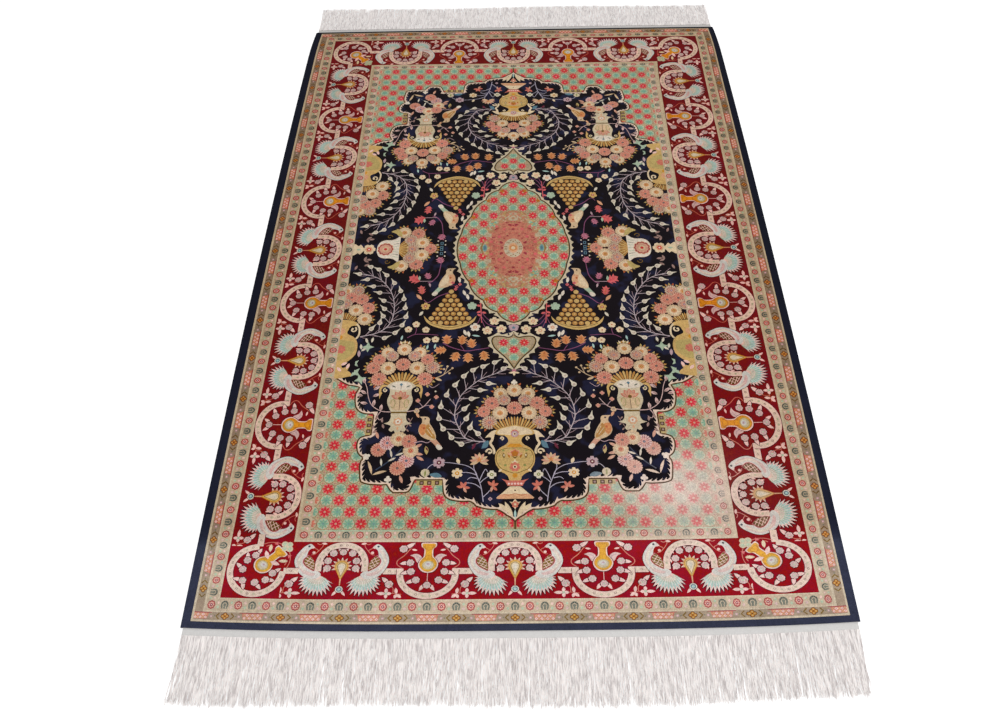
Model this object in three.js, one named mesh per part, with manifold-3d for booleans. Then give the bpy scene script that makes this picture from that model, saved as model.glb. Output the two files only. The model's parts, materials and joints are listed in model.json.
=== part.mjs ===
// A hand-knotted silk rug, lying flat on a floor.
// Millimetres. +Z is up, +Y runs along the rug's length, and the origin is on the floor in the middle
// of the rug's footprint, fringes included.

import * as THREE from "three";
import { mergeVertices } from "three/addons/utils/BufferGeometryUtils.js";
import Module from "manifold-3d";

// ---- Driving dimensions ----

const PILE_WIDTH = 1027; // widest place between the two side edges
const PILE_LENGTH = 1532; // longest place of the knotted cloth
const PILE_THICKNESS = 3; // knots and foundation together
const BAND_DEPTH = 14; // flat-woven band past each end of the pile
const BAND_THICKNESS = 1.2;
const BAND_UNDERLAP = 30; // how far the band's weave runs in under the pile, as one cloth with it

// A woven edge is never straight. Each side is widest at its crest, given as a share of the half
// length, and draws in from there towards the corners. Each end bows outwards in its middle.
const SIDES = {
  left: { direction: -1, drawIn: 15, crest: 0.4 },
  right: { direction: 1, drawIn: 9, crest: 0.2 },
};
const ENDS = {
  near: { direction: -1, bow: 9.5, tilt: 0 },
  far: { direction: 1, bow: 1.5, tilt: 5 },
};
const BOW_POWER = 3;
const FAR_CORNER_PULL = 5; // the far corners are pulled in over their last stretch
const FAR_CORNER_START = 0.86; // where that stretch starts, as a share of the half length

const FRINGE_THICKNESS = 1.4;
const FRINGE_LENGTH = 92; // from the band to the tips
const FRINGE_HEAD = 6; // depth of the undivided part at the root
const FRINGE_INSET = 4; // the outermost strands stand this far in from the band's corners
const FRINGE_GAP = 2.2; // between neighbouring locks at the tips
const LOCKS = 72; // locks of warp ends in one fringe
const LENGTH_WAVES = [
  // tips follow slow waves along the edge: size in mm, waves per metre, phase
  { size: 2.4, perMetre: 1.7, phase: 0.4 },
  { size: 1.6, perMetre: 6.3, phase: 1.9 },
  { size: 1.3, perMetre: 17.0, phase: 0.7 },
];
const LEAN_SIZE = 1.1; // the locks' tips sway this far along the edge
const LEAN_PER_METRE = 4.1;

const SEAT_GAP = 0.3; // fringe to band
const SIDE_STEPS = 26; // straight steps along one long edge
const END_STEPS = 24; // straight steps along one short edge

const COLOURS = { pile: 0x7a2430, fringe: 0xe9e2dc };
const FINISHES = {
  pile: { color: COLOURS.pile, roughness: 0.75, metalness: 0 },
  fringe: { color: COLOURS.fringe, roughness: 0.85, metalness: 0 },
};

// ---- The rug's uneven outline ----

const halfWidth = PILE_WIDTH / 2;
const halfLength = PILE_LENGTH / 2;

/** How far a side stands in from the straight line at its crest; along runs from -1 near to 1 far. */
function sideDrawIn(side, along) {
  const fromCrest = Math.abs(along - side.crest) / (1 + side.crest);
  const corner = Math.max(0, (along - FAR_CORNER_START) / (1 - FAR_CORNER_START));
  return side.drawIn * fromCrest ** 2 + FAR_CORNER_PULL * corner ** 2;
}

/** How far an end stands out from the straight line at its corners; across runs from -1 to 1. */
function endStandOut(end, across) {
  return end.bow * (1 - Math.abs(across) ** BOW_POWER) + end.tilt * across;
}

/** The place on the floor of a point given as shares of the half width and half length. */
function onRug(across, along) {
  const side = across < 0 ? SIDES.left : SIDES.right;
  const end = along < 0 ? ENDS.near : ENDS.far;
  const x = across * (halfWidth - sideDrawIn(side, along));
  const straightEnd = halfLength - end.bow - end.tilt;
  const y = along * (straightEnd + endStandOut(end, across));
  return new THREE.Vector2(x, y);
}

/** Points along one end's edge, from left to right, moved outwards by a distance. */
function endEdge(end, outwards) {
  const points = [];
  for (let i = 0; i <= END_STEPS; i += 1) {
    const across = (2 * i) / END_STEPS - 1;
    const point = onRug(across, end.direction);
    point.y += end.direction * outwards;
    points.push(point);
  }
  return points;
}

/** Points along one side's edge, from the near to the far corner, without the two corners. */
function sideEdge(side) {
  const points = [];
  for (let i = 1; i < SIDE_STEPS; i += 1) {
    const along = (2 * i) / SIDE_STEPS - 1;
    points.push(onRug(side.direction, along));
  }
  return points;
}

// ---- Solids ----

/** An upright solid on the floor over an outline. */
function slab(points, thickness) {
  return new THREE.ExtrudeGeometry(new THREE.Shape(points), { depth: thickness, bevelEnabled: false });
}

/** The outline of the knotted pile. */
function pileOutline() {
  return [
    ...endEdge(ENDS.near, 0),
    ...sideEdge(SIDES.right),
    ...endEdge(ENDS.far, 0).reverse(),
    ...sideEdge(SIDES.left).reverse(),
  ];
}

/** The outline of one flat-woven band, with its run under the pile. */
function bandOutline(end) {
  const outer = endEdge(end, BAND_DEPTH);
  const inner = endEdge(end, -BAND_UNDERLAP);
  inner[0].x += SEAT_GAP;
  inner[inner.length - 1].x -= SEAT_GAP;
  return [...outer, ...inner.reverse()];
}

/** Turns a closed geometry into a solid that can be joined. */
function toSolid(wasm, geometry) {
  const plain = geometry.clone();
  plain.deleteAttribute("normal");
  plain.deleteAttribute("uv");
  const merged = mergeVertices(plain);
  const mesh = new wasm.Mesh({
    numProp: 3,
    vertProperties: new Float32Array(merged.attributes.position.array),
    triVerts: new Uint32Array(merged.index.array),
  });
  return new wasm.Manifold(mesh);
}

/** Turns a joined solid back into a geometry. */
function toGeometry(solid) {
  const mesh = solid.getMesh();
  const geometry = new THREE.BufferGeometry();
  geometry.setAttribute("position", new THREE.BufferAttribute(new Float32Array(mesh.vertProperties), 3));
  geometry.setIndex(new THREE.BufferAttribute(new Uint32Array(mesh.triVerts), 1));
  geometry.computeVertexNormals();
  return geometry;
}

/** The rug cloth: pile, with the flat-woven bands of the same cloth at its two ends. */
async function rugCloth() {
  const wasm = await Module();
  wasm.setup();
  const pile = toSolid(wasm, slab(pileOutline(), PILE_THICKNESS));
  const nearBand = toSolid(wasm, slab(bandOutline(ENDS.near), BAND_THICKNESS));
  const farBand = toSolid(wasm, slab(bandOutline(ENDS.far), BAND_THICKNESS));
  return toGeometry(pile.add(nearBand).add(farBand));
}

/** The height of the fringe's tips above or below their mean line at a place across the rug. */
function lengthWave(x) {
  const metres = x / 1000;
  let sum = 0;
  for (const wave of LENGTH_WAVES) {
    sum += wave.size * Math.sin(2 * Math.PI * wave.perMetre * metres + wave.phase);
  }
  return sum;
}

/** A comb of locks along one end's band. */
function fringe(end) {
  const rootInset = (BAND_DEPTH + SEAT_GAP) * end.direction;
  const left = onRug(-1, end.direction).x + FRINGE_INSET;
  const right = onRug(1, end.direction).x - FRINGE_INSET;
  const pitch = (right - left) / LOCKS;
  const rootY = (x) => onRug(x / Math.max(-left, right), end.direction).y + rootInset;
  const tips = [];
  const roots = [];
  for (let i = 0; i < LOCKS; i += 1) {
    const from = left + i * pitch + FRINGE_GAP / 2;
    const to = left + (i + 1) * pitch - FRINGE_GAP / 2;
    const middle = (from + to) / 2;
    const sway = LEAN_SIZE * Math.sin(2 * Math.PI * LEAN_PER_METRE * (middle / 1000));
    const neckY = rootY(middle) + FRINGE_HEAD * end.direction;
    const tipY = rootY(middle) + (FRINGE_LENGTH + lengthWave(middle)) * end.direction;
    const shoulderY = tipY - FRINGE_HEAD * end.direction;
    const taper = FRINGE_GAP / 2;
    tips.push(new THREE.Vector2(from, neckY));
    tips.push(new THREE.Vector2(from + sway, shoulderY));
    tips.push(new THREE.Vector2(from + taper + sway, tipY));
    tips.push(new THREE.Vector2(to - taper + sway, tipY));
    tips.push(new THREE.Vector2(to + sway, shoulderY));
    tips.push(new THREE.Vector2(to, neckY));
    roots.push(new THREE.Vector2(from, rootY(from)));
  }
  roots.push(new THREE.Vector2(right - FRINGE_GAP / 2, rootY(right)));
  return slab([...tips, ...roots.reverse()], FRINGE_THICKNESS);
}

// ---- The rug ----

/** A named piece with its own finish. */
function piece(name, geometry, finish) {
  const mesh = new THREE.Mesh(geometry, new THREE.MeshStandardMaterial(finish));
  mesh.name = name;
  return mesh;
}

const rug = new THREE.Group();
rug.add(piece("rug_cloth", await rugCloth(), FINISHES.pile));
rug.add(piece("fringe_near", fringe(ENDS.near), FINISHES.fringe));
rug.add(piece("fringe_far", fringe(ENDS.far), FINISHES.fringe));

// The footprint is centred over the origin.
const footprint = new THREE.Box3().setFromObject(rug);
const middle = footprint.getCenter(new THREE.Vector3());
rug.position.set(-middle.x, -middle.y, 0);

export default rug;
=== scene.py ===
"""A hand-knotted silk rug: the woven cloth, its knotted design, the flat-woven ends and the two fringes.

The design is drawn as a weaver's drawing is: closed shapes, in millimetres, laid over each other in order,
each with its dye. The shapes are then cut into one flat mosaic of faces, and every face keeps its dye.
"""

import cmath
import itertools
import json
import logging
import math
from dataclasses import dataclass, field
from enum import Enum
from typing import Callable, NamedTuple

import bpy
import numpy as np
from mathutils import Matrix, Vector
from mathutils.geometry import delaunay_2d_cdt

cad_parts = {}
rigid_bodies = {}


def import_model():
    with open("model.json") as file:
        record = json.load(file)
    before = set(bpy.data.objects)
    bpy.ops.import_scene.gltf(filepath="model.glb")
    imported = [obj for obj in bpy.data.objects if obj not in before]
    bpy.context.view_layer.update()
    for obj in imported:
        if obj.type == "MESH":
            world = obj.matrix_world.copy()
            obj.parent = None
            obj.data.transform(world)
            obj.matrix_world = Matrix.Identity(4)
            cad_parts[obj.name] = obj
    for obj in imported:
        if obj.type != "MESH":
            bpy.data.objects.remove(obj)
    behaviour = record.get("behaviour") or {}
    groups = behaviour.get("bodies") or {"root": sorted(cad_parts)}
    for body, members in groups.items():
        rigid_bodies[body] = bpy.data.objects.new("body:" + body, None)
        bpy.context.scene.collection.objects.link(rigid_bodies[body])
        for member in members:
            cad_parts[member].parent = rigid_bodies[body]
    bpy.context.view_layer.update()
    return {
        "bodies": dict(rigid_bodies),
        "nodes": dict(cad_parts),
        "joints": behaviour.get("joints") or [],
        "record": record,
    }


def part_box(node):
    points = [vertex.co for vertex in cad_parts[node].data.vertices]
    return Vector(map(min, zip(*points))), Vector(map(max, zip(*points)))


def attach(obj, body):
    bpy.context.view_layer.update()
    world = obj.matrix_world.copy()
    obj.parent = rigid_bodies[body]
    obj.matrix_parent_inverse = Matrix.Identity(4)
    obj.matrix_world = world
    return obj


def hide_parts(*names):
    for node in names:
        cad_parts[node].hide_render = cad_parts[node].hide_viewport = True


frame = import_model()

logging.basicConfig(level=logging.INFO, format="%(message)s")
log = logging.getLogger("rug")

Places = np.ndarray  # complex numbers, x + y i, in millimetres
MM = 0.001  # metres in a millimetre

# The drawing's plan, in millimetres: the field, and the bands outside it in their order
FIELD = (325.0, 604.0)  # half width and half length of the field, as drawn
BAND_WIDTHS = {"inner guard": 17.5, "inner line": 4, "border": 103, "outer line": 3.5, "rosette guard": 17}
BAND_WIDTHS |= {"plain line": 2.5, "outer guard": 13.5, "last line": 3, "edge": 13}
OUTWARDS = dict(zip(["field", *BAND_WIDTHS], np.cumsum([0, *BAND_WIDTHS.values()]).tolist()))
SELVEDGE = 4.0  # the width of the overcast cord along each side
BAND_DEPTH = 14.0  # the flat-woven band past each end of the pile
PILE_TOP = 3.0  # the height of the knots' tips
PILE_FOOT = 1.2  # the height of the ground that the knots stand on

# Cutting and welding
MERGE = 0.004  # places closer than this, in millimetres, become one
WELD_SQUARES = 50  # to the millimetre; corners in one square become one
WELD_SHIFTS = (0.137, 0.637)  # the squares are laid again, shifted, for corners on both sides of their lines
WELD_STRIDE = 1e7  # more squares than there are from one end of the rug to the other
FILL_MERGE = 1e-5  # the same as MERGE, where a layer's back is filled
DYE_LAYER = "Dye"  # the attribute that keeps the faces' dyes


class Dye(Enum):
    """The silk dyes of the rug, as sRGB levels from 0 to 255."""

    NAVY = (29, 18, 27)
    EDGE_NAVY = (50, 54, 74)
    INK = (34, 26, 24)
    CRIMSON = (145, 5, 23)
    CREAM = (220, 200, 170)
    IVORY = (220, 208, 192)
    PEARL = (212, 202, 184)
    LILAC = (186, 160, 164)
    BLUSH = (214, 184, 178)
    ROSE = (188, 92, 88)
    PALE_PINK = (232, 196, 186)
    CHERRY = (196, 66, 72)
    PLUM = (118, 54, 72)
    SALMON = (202, 126, 108)
    PEACH = (212, 166, 132)
    GOLD = (204, 150, 62)
    PALE_GOLD = (204, 172, 116)
    WHEAT = (202, 172, 118)
    OLIVE = (126, 100, 48)
    AMBER = (184, 122, 52)
    RUST = (184, 110, 68)
    BEIGE = (190, 174, 150)
    SAND = (198, 178, 154)
    REED = (222, 200, 182)
    GOLDEN = (220, 162, 52)
    TURQUOISE = (138, 174, 150)
    SKY = (174, 198, 190)
    SAGE = (122, 124, 112)
    BROWN = (84, 56, 38)
    GARNET = (160, 68, 78)
    CHERRY_PINK = (210, 112, 112)
    IVORY_PINK = (232, 198, 190)
    LINE = (206, 190, 166)
    MAROON = (70, 12, 22)
    MOSS = (150, 152, 96)
    STRAW = (188, 168, 114)
    SLATE = (104, 132, 144)
    DUSK = (72, 82, 100)
    RED = (206, 58, 72)
    BAND = (217, 215, 213)
    BUFF = (166, 146, 126)
    PALE_GREEN = (172, 186, 164)
    OLIVE_LINE = (152, 128, 84)
    TAUPE = (162, 134, 126)
    MAUVE = (146, 92, 122)
    MAUVE_PINK = (188, 124, 138)
    ORANGE = (204, 144, 96)
    HONEY = (186, 142, 84)
    TERRACOTTA = (196, 132, 112)
    CLAY = (184, 116, 100)
    FAINT = (186, 142, 112)
    PETAL = (206, 160, 138)
    BISCUIT = (208, 182, 150)
    STEM = (190, 176, 178)
    SHADE = (60, 10, 20)
    DOVE = (210, 205, 198)
    ECRU = (204, 190, 164)
    CELADON = (180, 194, 168)
    LAVENDER = (184, 176, 188)
    SLATE_GREEN = (130, 162, 154)
    TAN = (176, 158, 132)


DYES = list(Dye)


# ---- Outlines ----


def way(degrees: float) -> complex:
    """The unit step in a direction, in degrees from +X towards +Y."""
    return cmath.exp(1j * math.radians(degrees))


def disc(radius: float, corners: int = 10, wide: float = 1.0) -> Places:
    """A round or oval outline about the origin.

    Args:
        radius: Its radius along Y.
        corners: How many corners it has.
        wide: Its width along X as a share of the height.

    Returns:
        The outline.
    """
    turn = 2 * np.pi * (np.arange(corners) + 0.5) / corners
    return radius * (wide * np.cos(turn) + 1j * np.sin(turn))


def star(outer: float, inner: float, rays: int, turn: float = 90.0) -> Places:
    """An outline of pointed rays about the origin.

    Args:
        outer: How far the tips reach.
        inner: How far the hollows between them reach.
        rays: How many rays there are.
        turn: The direction of the first tip, in degrees.

    Returns:
        The outline.
    """
    reach = np.where(np.arange(2 * rays) % 2, inner, outer)
    return reach * way(turn) * np.exp(1j * np.pi * np.arange(2 * rays) / rays)


def petalled(radius: float, petals: int, depth: float = 0.16, turn: float = 90.0) -> Places:
    """An outline of round petals about the origin, each with a hollow and two shoulders.

    Args:
        radius: How far the petals reach.
        petals: How many petals there are.
        depth: How deep the hollows are, as a share of the radius.
        turn: The direction of the first petal, in degrees.

    Returns:
        The outline.
    """
    step = 2 * np.pi / petals
    hollows = np.arange(petals) * step - step / 2
    turns = np.stack([hollows, hollows + 0.27 * step, hollows + 0.73 * step], 1).ravel()
    reach = np.tile([radius * (1 - depth), radius, radius], petals)
    return reach * way(turn) * np.exp(1j * turns)


def flowing(places: list[complex], steps: int = 4, closed: bool = True) -> Places:
    """A smooth line through places. A place given twice is a sharp corner.

    Args:
        places: The places, in order.
        steps: How many steps each stretch between two places takes.
        closed: Whether it returns to its start.

    Returns:
        The line's points.
    """
    at = np.array(places, complex)
    count = len(at)
    turns = range(count if closed else count - 1)
    pick = (lambda i: at[i % count]) if closed else (lambda i: at[min(max(i, 0), count - 1)])
    t = np.arange(steps) / steps
    line = []
    for i in turns:
        a, b, c, d = pick(i - 1), pick(i), pick(i + 1), pick(i + 2)
        if b == c:
            continue
        line.append(
            0.5 * (2 * b + (c - a) * t + (2 * a - 5 * b + 4 * c - d) * t**2 + (3 * b - a - 3 * c + d) * t**3)
        )
    if not closed:
        line.append(at[-1:])
    return np.concatenate(line)


def turned(rows: list[tuple[float, float]], steps: int = 3) -> Places:
    """The outline of a vessel that is the same on both sides of its upright middle line.

    Args:
        rows: Half width and height, from the foot up.
        steps: How many steps each stretch takes.

    Returns:
        The outline.
    """
    right = flowing([complex(half, height) for half, height in rows], steps, closed=False)
    return np.concatenate([right, -np.conj(right[::-1])])


def drop(radius: float, length: float, corners: int = 8) -> Places:
    """A round fruit or bud about the origin with a pointed tip that reaches length along +Y."""
    turns = np.radians(np.linspace(152, 388, corners))
    return np.append(radius * np.exp(1j * turns), 1j * length)


def leaf(length: float, width: float, bend: float = 0.0, steps: int = 4) -> Places:
    """A pointed leaf from the origin along +Y.

    Args:
        length: From its base to its tip.
        width: At its widest.
        bend: How far its tip stands to the right.
        steps: How many steps each side takes.

    Returns:
        The outline.
    """
    t = np.linspace(0, 1, steps + 1)
    middle = bend * t**2 + 1j * length * t
    half = width / 2 * np.sin(np.pi * t) ** 0.8
    return np.concatenate([middle + half, (middle - half)[-2:0:-1]])


def ribbon(line: Places, width: float, end_width: float | None = None) -> Places:
    """The outline of a stripe along a line.

    Args:
        line: The line's points.
        width: The stripe's width at the start.
        end_width: Its width at the end, if that differs.

    Returns:
        The outline.
    """
    heading = np.gradient(line)
    side = 1j * heading / np.maximum(np.abs(heading), 1e-9)
    half = np.linspace(width, width if end_width is None else end_width, len(line)) / 2
    return np.concatenate([line - side * half, (line + side * half)[::-1]])


def bowed(rows: list[tuple[float, float, float]], step: float = 3.0) -> Places:
    """A line of straight and bowed stretches.

    Args:
        rows: x, y, and how far the stretch that ends there bows to the left, as a share of its half length.
        step: About how long each straight step on a bow is.

    Returns:
        The line's points.
    """
    line = [complex(*rows[0][:2])]
    for x, y, bow in rows[1:]:
        start, end = line[-1], complex(x, y)
        if bow == 0:
            line.append(end)
            continue
        half = (end - start) / 2
        centre = start + half + 1j * half * (bow**2 - 1) / (2 * bow)
        sweep = -4 * math.atan(bow)
        steps = max(2, round(abs(half) * 2 / step))
        line += list(centre + (start - centre) * np.exp(1j * sweep * np.arange(1, steps + 1) / steps))
    return np.array(line)


def spaced(line: Places, count: int) -> tuple[Places, Places]:
    """Evenly spaced places on a line.

    Args:
        line: The line's points.
        count: How many places.

    Returns:
        The places, and the unit heading at each.
    """
    lengths = np.concatenate([[0], np.cumsum(np.abs(np.diff(line)))])
    at = np.linspace(0, lengths[-1], count)
    places = np.interp(at, lengths, line.real) + 1j * np.interp(at, lengths, line.imag)
    heading = np.gradient(places)
    return places, heading / np.maximum(np.abs(heading), 1e-9)


def shifted(line: Places, distance: float | Places) -> Places:
    """A line moved sideways, to its left, by a distance."""
    heading = np.gradient(line)
    return line + 1j * heading / np.maximum(np.abs(heading), 1e-9) * distance


def toothed(line: Places, depth: float, teeth: float, pitch: float = 8.5) -> Places:
    """A line moved to its left, with leaf-like teeth that lean along it.

    Args:
        line: The line's points.
        depth: How far it moves between the teeth.
        teeth: How much further the teeth reach.
        pitch: The distance between two teeth.

    Returns:
        The toothed line.
    """
    length = np.abs(np.diff(line)).sum()
    count = 7 * max(1, round(length / pitch)) + 1
    places, heading = spaced(line, count)
    reach = depth + teeth * np.resize([0.0, 0.05, 0.2, 0.5, 1.0, 0.35, 0.08], count)
    lean = abs(teeth) * np.resize([0.0, 0.0, 0.1, 0.35, 0.75, 0.1, 0.0], count)
    return shifted(places, reach) + heading * lean


# ---- The weaver's drawing ----


class Shape(NamedTuple):
    """A dyed outline, and the outline it may not pass."""

    dye: Dye
    outline: Places
    within: Places | None


@dataclass
class Drawing:
    """Dyed shapes, each laid over those before it."""

    shapes: list[Shape] = field(default_factory=list)

    def lay(
        self, dye: Dye, *outlines: Places, at: complex = 0, turn: float = 0.0, within: Places | None = None
    ) -> None:
        """Lays outlines in a dye.

        Args:
            dye: Their dye.
            *outlines: The closed outlines.
            at: Where their origin goes.
            turn: How far they turn, in degrees.
            within: An outline that they may not pass.
        """
        for outline in outlines:
            self.shapes.append(Shape(dye, at + way(turn) * outline, within))

    def stamp(
        self, other: "Drawing", at: complex = 0, turn: float = 0.0, size: float = 1.0, flip: bool = False
    ) -> None:
        """Lays a copy of another drawing.

        Args:
            other: The drawing.
            at: Where its origin goes.
            turn: How far it turns, in degrees.
            size: How much larger it becomes.
            flip: Whether it is mirrored left to right first.
        """
        scale = size * way(turn)

        def placed(outline: Places | None) -> Places | None:
            """The outline in its new place."""
            if outline is None:
                return None
            return at + scale * (-np.conj(outline) if flip else outline)

        for dye, outline, within in other.shapes:
            self.shapes.append(Shape(dye, placed(outline), placed(within)))

    def both(self, other: "Drawing", at: complex = 0, turn: float = 0.0, size: float = 1.0) -> None:
        """Lays a copy of another drawing and its mirror image across the upright middle line."""
        self.stamp(other, at, turn, size)
        self.stamp(other, -complex(at).conjugate(), -turn, size, flip=True)

    def cut(self, edge: Places, ground: Dye, spare: bool = True) -> "Mosaic":
        """Cuts the drawing into flat faces.

        Args:
            edge: The outline of the piece, counter-clockwise. What passes it is cut off.
            ground: The dye where no shape lies.
            spare: Whether to leave out the corners that lie hidden under other shapes.

        Returns:
            The faces inside the edge, each in the dye of the topmost shape on it.
        """
        shapes = [Shape(ground, edge, None), *self.shapes]
        outlines = [parted(shape.outline) for shape in shapes]
        outlines += list(
            {id(shape.within): shape.within for shape in shapes if shape.within is not None}.values()
        )
        ends = np.cumsum([0] + [len(outline) for outline in outlines])
        lines = []
        for start, end in zip(ends[:-1], ends[1:]):
            here = np.arange(start, end)
            lines.append(np.stack([here, np.roll(here, -1)], 1))
        rough = dyed(*faced(np.concatenate(outlines), np.concatenate(lines)), shapes)
        if not spare:
            return rough
        shapes[0] = Shape(ground, rough.places[max(rough.rims(), key=len)], None)
        used, lines = np.unique(rough.dye_lines(), return_inverse=True)
        return dyed(*faced(rough.places[used], lines.reshape(-1, 2)), shapes)


def faced(places: Places, lines: np.ndarray) -> tuple[Places, np.ndarray]:
    """Three-cornered faces between lines.

    Args:
        places: Where the lines' ends are.
        lines: The numbers of the two ends of each line.

    Returns:
        The places of the faces' corners, and the numbers of each face's three corners, counter-clockwise.
    """
    points = [Vector((place.real, place.imag)) for place in places]
    verts, _, faces, *_ = delaunay_2d_cdt(points, lines.tolist(), [], 0, MERGE, False)
    places, faces = np.round(np.array([vert.x + 1j * vert.y for vert in verts]), 3), np.array(faces)
    a, b, c = places[faces].T
    upside_down = ((b - a).conjugate() * (c - a)).imag < 0
    faces[upside_down] = faces[upside_down][:, ::-1]
    return places, faces


def dyed(places: Places, faces: np.ndarray, shapes: list[Shape]) -> "Mosaic":
    """The faces that lie on the first shape, each in the dye of the topmost shape on it."""
    middles = places[faces].mean(1)
    dyes = np.full(len(faces), -1)
    left = np.nonzero(covers(shapes[0].outline, middles))[0]
    for dye, outline, within in reversed(shapes):
        hit = covers(outline, middles[left])
        if within is not None:
            hit &= covers(within, middles[left])
        dyes[left[hit]] = DYES.index(dye)
        left = left[~hit]
    kept = dyes >= 0
    used, faces = np.unique(faces[kept], return_inverse=True)
    return Mosaic(places[used], faces.reshape(-1, 3), dyes[kept])


def parted(outline: Places, reach: float = 24.0) -> Places:
    """The same outline with places added along its longer sides, to follow the cloth's own curve."""
    after = np.roll(outline, -1)
    parts = np.maximum(1, np.ceil(np.abs(after - outline) / reach)).astype(int)
    if parts.max() == 1:
        return outline
    pieces = [here + (there - here) * np.arange(n) / n for here, there, n in zip(outline, after, parts)]
    return np.concatenate(pieces)


def covers(outline: Places, places: Places) -> np.ndarray:
    """Whether an outline goes round each place.

    Args:
        outline: The closed outline.
        places: The places.

    Returns:
        A truth value for each place.
    """
    inside = np.zeros(len(places), bool)
    near = np.nonzero(
        (places.real > outline.real.min())
        & (places.real < outline.real.max())
        & (places.imag > outline.imag.min())
        & (places.imag < outline.imag.max())
    )[0]
    after = np.roll(outline, -1)
    for some in np.array_split(near, 1 + len(near) * len(outline) // 2_000_000):
        x, y = places[some].real[:, None], places[some].imag[:, None]
        side = (
            after.real - outline.real
        ) * (y - outline.imag) - (x - outline.real) * (after.imag - outline.imag)
        below, above = outline.imag <= y, after.imag <= y
        inside[some] = ((below & ~above & (side > 0)).sum(1) != (~below & above & (side < 0)).sum(1))
    return inside


@dataclass
class Mosaic:
    """Flat three-cornered faces, each with a dye.

    Attributes:
        places: Where the corners are.
        faces: The numbers of each face's three corners, counter-clockwise.
        dyes: The number of each face's dye.
    """

    places: Places
    faces: np.ndarray
    dyes: np.ndarray

    def sides(self) -> tuple[np.ndarray, np.ndarray]:
        """The corners at which the open sides of the faces start and end."""
        count = len(self.places)
        starts, ends = self.faces.T.ravel(), np.roll(self.faces.T, -1, 0).ravel()
        free = ~np.isin(ends * count + starts, starts * count + ends)
        return starts[free], ends[free]

    def dye_lines(self) -> np.ndarray:
        """The two ends of each side of a face that lies on the rim or between two dyes."""
        count = len(self.places)
        starts, ends = self.faces.T.ravel(), np.roll(self.faces.T, -1, 0).ravel()
        dyes = dict(zip((starts * count + ends).tolist(), np.tile(self.dyes, 3).tolist()))
        other = np.array([dyes.get(side, -1) for side in (ends * count + starts).tolist()])
        kept = (other < 0) | ((other != np.tile(self.dyes, 3)) & (starts < ends))
        return np.stack([starts[kept], ends[kept]], 1)

    def welded(self) -> "Mosaic":
        """The same faces with one corner wherever corners on their rims meet."""
        rim = np.unique(self.sides()[0])
        number = np.arange(len(self.places))
        for y, x in itertools.product(WELD_SHIFTS, repeat=2):
            at = self.places[number[rim]] * WELD_SQUARES
            keys = np.round(at.real + x) * WELD_STRIDE + np.round(at.imag + y)
            _, first, same = np.unique(keys, return_index=True, return_inverse=True)
            number[rim] = number[rim][first][same]
        used, faces = np.unique(number[self.faces], return_inverse=True)
        faces = faces.reshape(-1, 3)
        a, b, c = faces.T
        kept = (a != b) & (b != c) & (c != a)
        return Mosaic(self.places[used], faces[kept], self.dyes[kept])

    def moved(self, shift: Callable[[Places], Places]) -> "Mosaic":
        """The same faces with every corner moved, kept facing up."""
        places = shift(self.places)
        a, b, c = self.faces.T
        turned_over = ((places[b] - places[a]).conjugate() * (places[c] - places[a])).imag.sum() < 0
        return Mosaic(places, self.faces[:, ::-1] if turned_over else self.faces, self.dyes)

    @staticmethod
    def joined(parts: list["Mosaic"]) -> "Mosaic":
        """The faces of all the parts, welded where they meet."""
        starts = np.cumsum([0] + [len(part.places) for part in parts[:-1]])
        return Mosaic(
            np.concatenate([part.places for part in parts]),
            np.concatenate([part.faces + start for part, start in zip(parts, starts)]),
            np.concatenate([part.dyes for part in parts]),
        ).welded()

    def rims(self) -> list[np.ndarray]:
        """The closed lines of corners round the faces, with the faces on their left."""
        starts, ends = self.sides()
        after = dict(zip(starts.tolist(), ends.tolist()))
        rims = []
        while after:
            start = here = next(iter(after))
            rim = []
            while here in after:
                rim.append(here)
                here = after.pop(here)
            if here != start:
                raise ValueError("a rim doesn't close")
            rims.append(np.array(rim))
        return rims


# ---- Motifs of the border ----


def bud(radius: float = 6.0) -> Drawing:
    """A round bud with a dark rim and a small pale green heart."""
    drawing = Drawing()
    drawing.lay(Dye.MAROON, disc(radius + 0.8, 10, 1.1))
    drawing.lay(Dye.BLUSH, petalled(radius, 7, 0.16) * 1.04)
    drawing.lay(Dye.LILAC, star(radius * 0.76, radius * 0.42, 7))
    drawing.lay(Dye.BLUSH, disc(radius * 0.42, 6))
    drawing.lay(Dye.CELADON, disc(radius * 0.26, 5))
    return drawing


def tipped_bud(tip: complex, radius: float = 6.0) -> Drawing:
    """A bud about the origin with a pale leaf that ends at a tip."""
    drawing = Drawing()
    turn = math.degrees(cmath.phase(tip)) - 90
    drawing.lay(Dye.MAROON, leaf(abs(tip) + 5.5, radius * 1.5, 1.5), turn=turn)
    drawing.lay(Dye.IVORY_PINK, leaf(abs(tip) + 4.5, radius * 1.1, 1.5), turn=turn)
    drawing.stamp(bud(radius))
    return drawing


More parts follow.
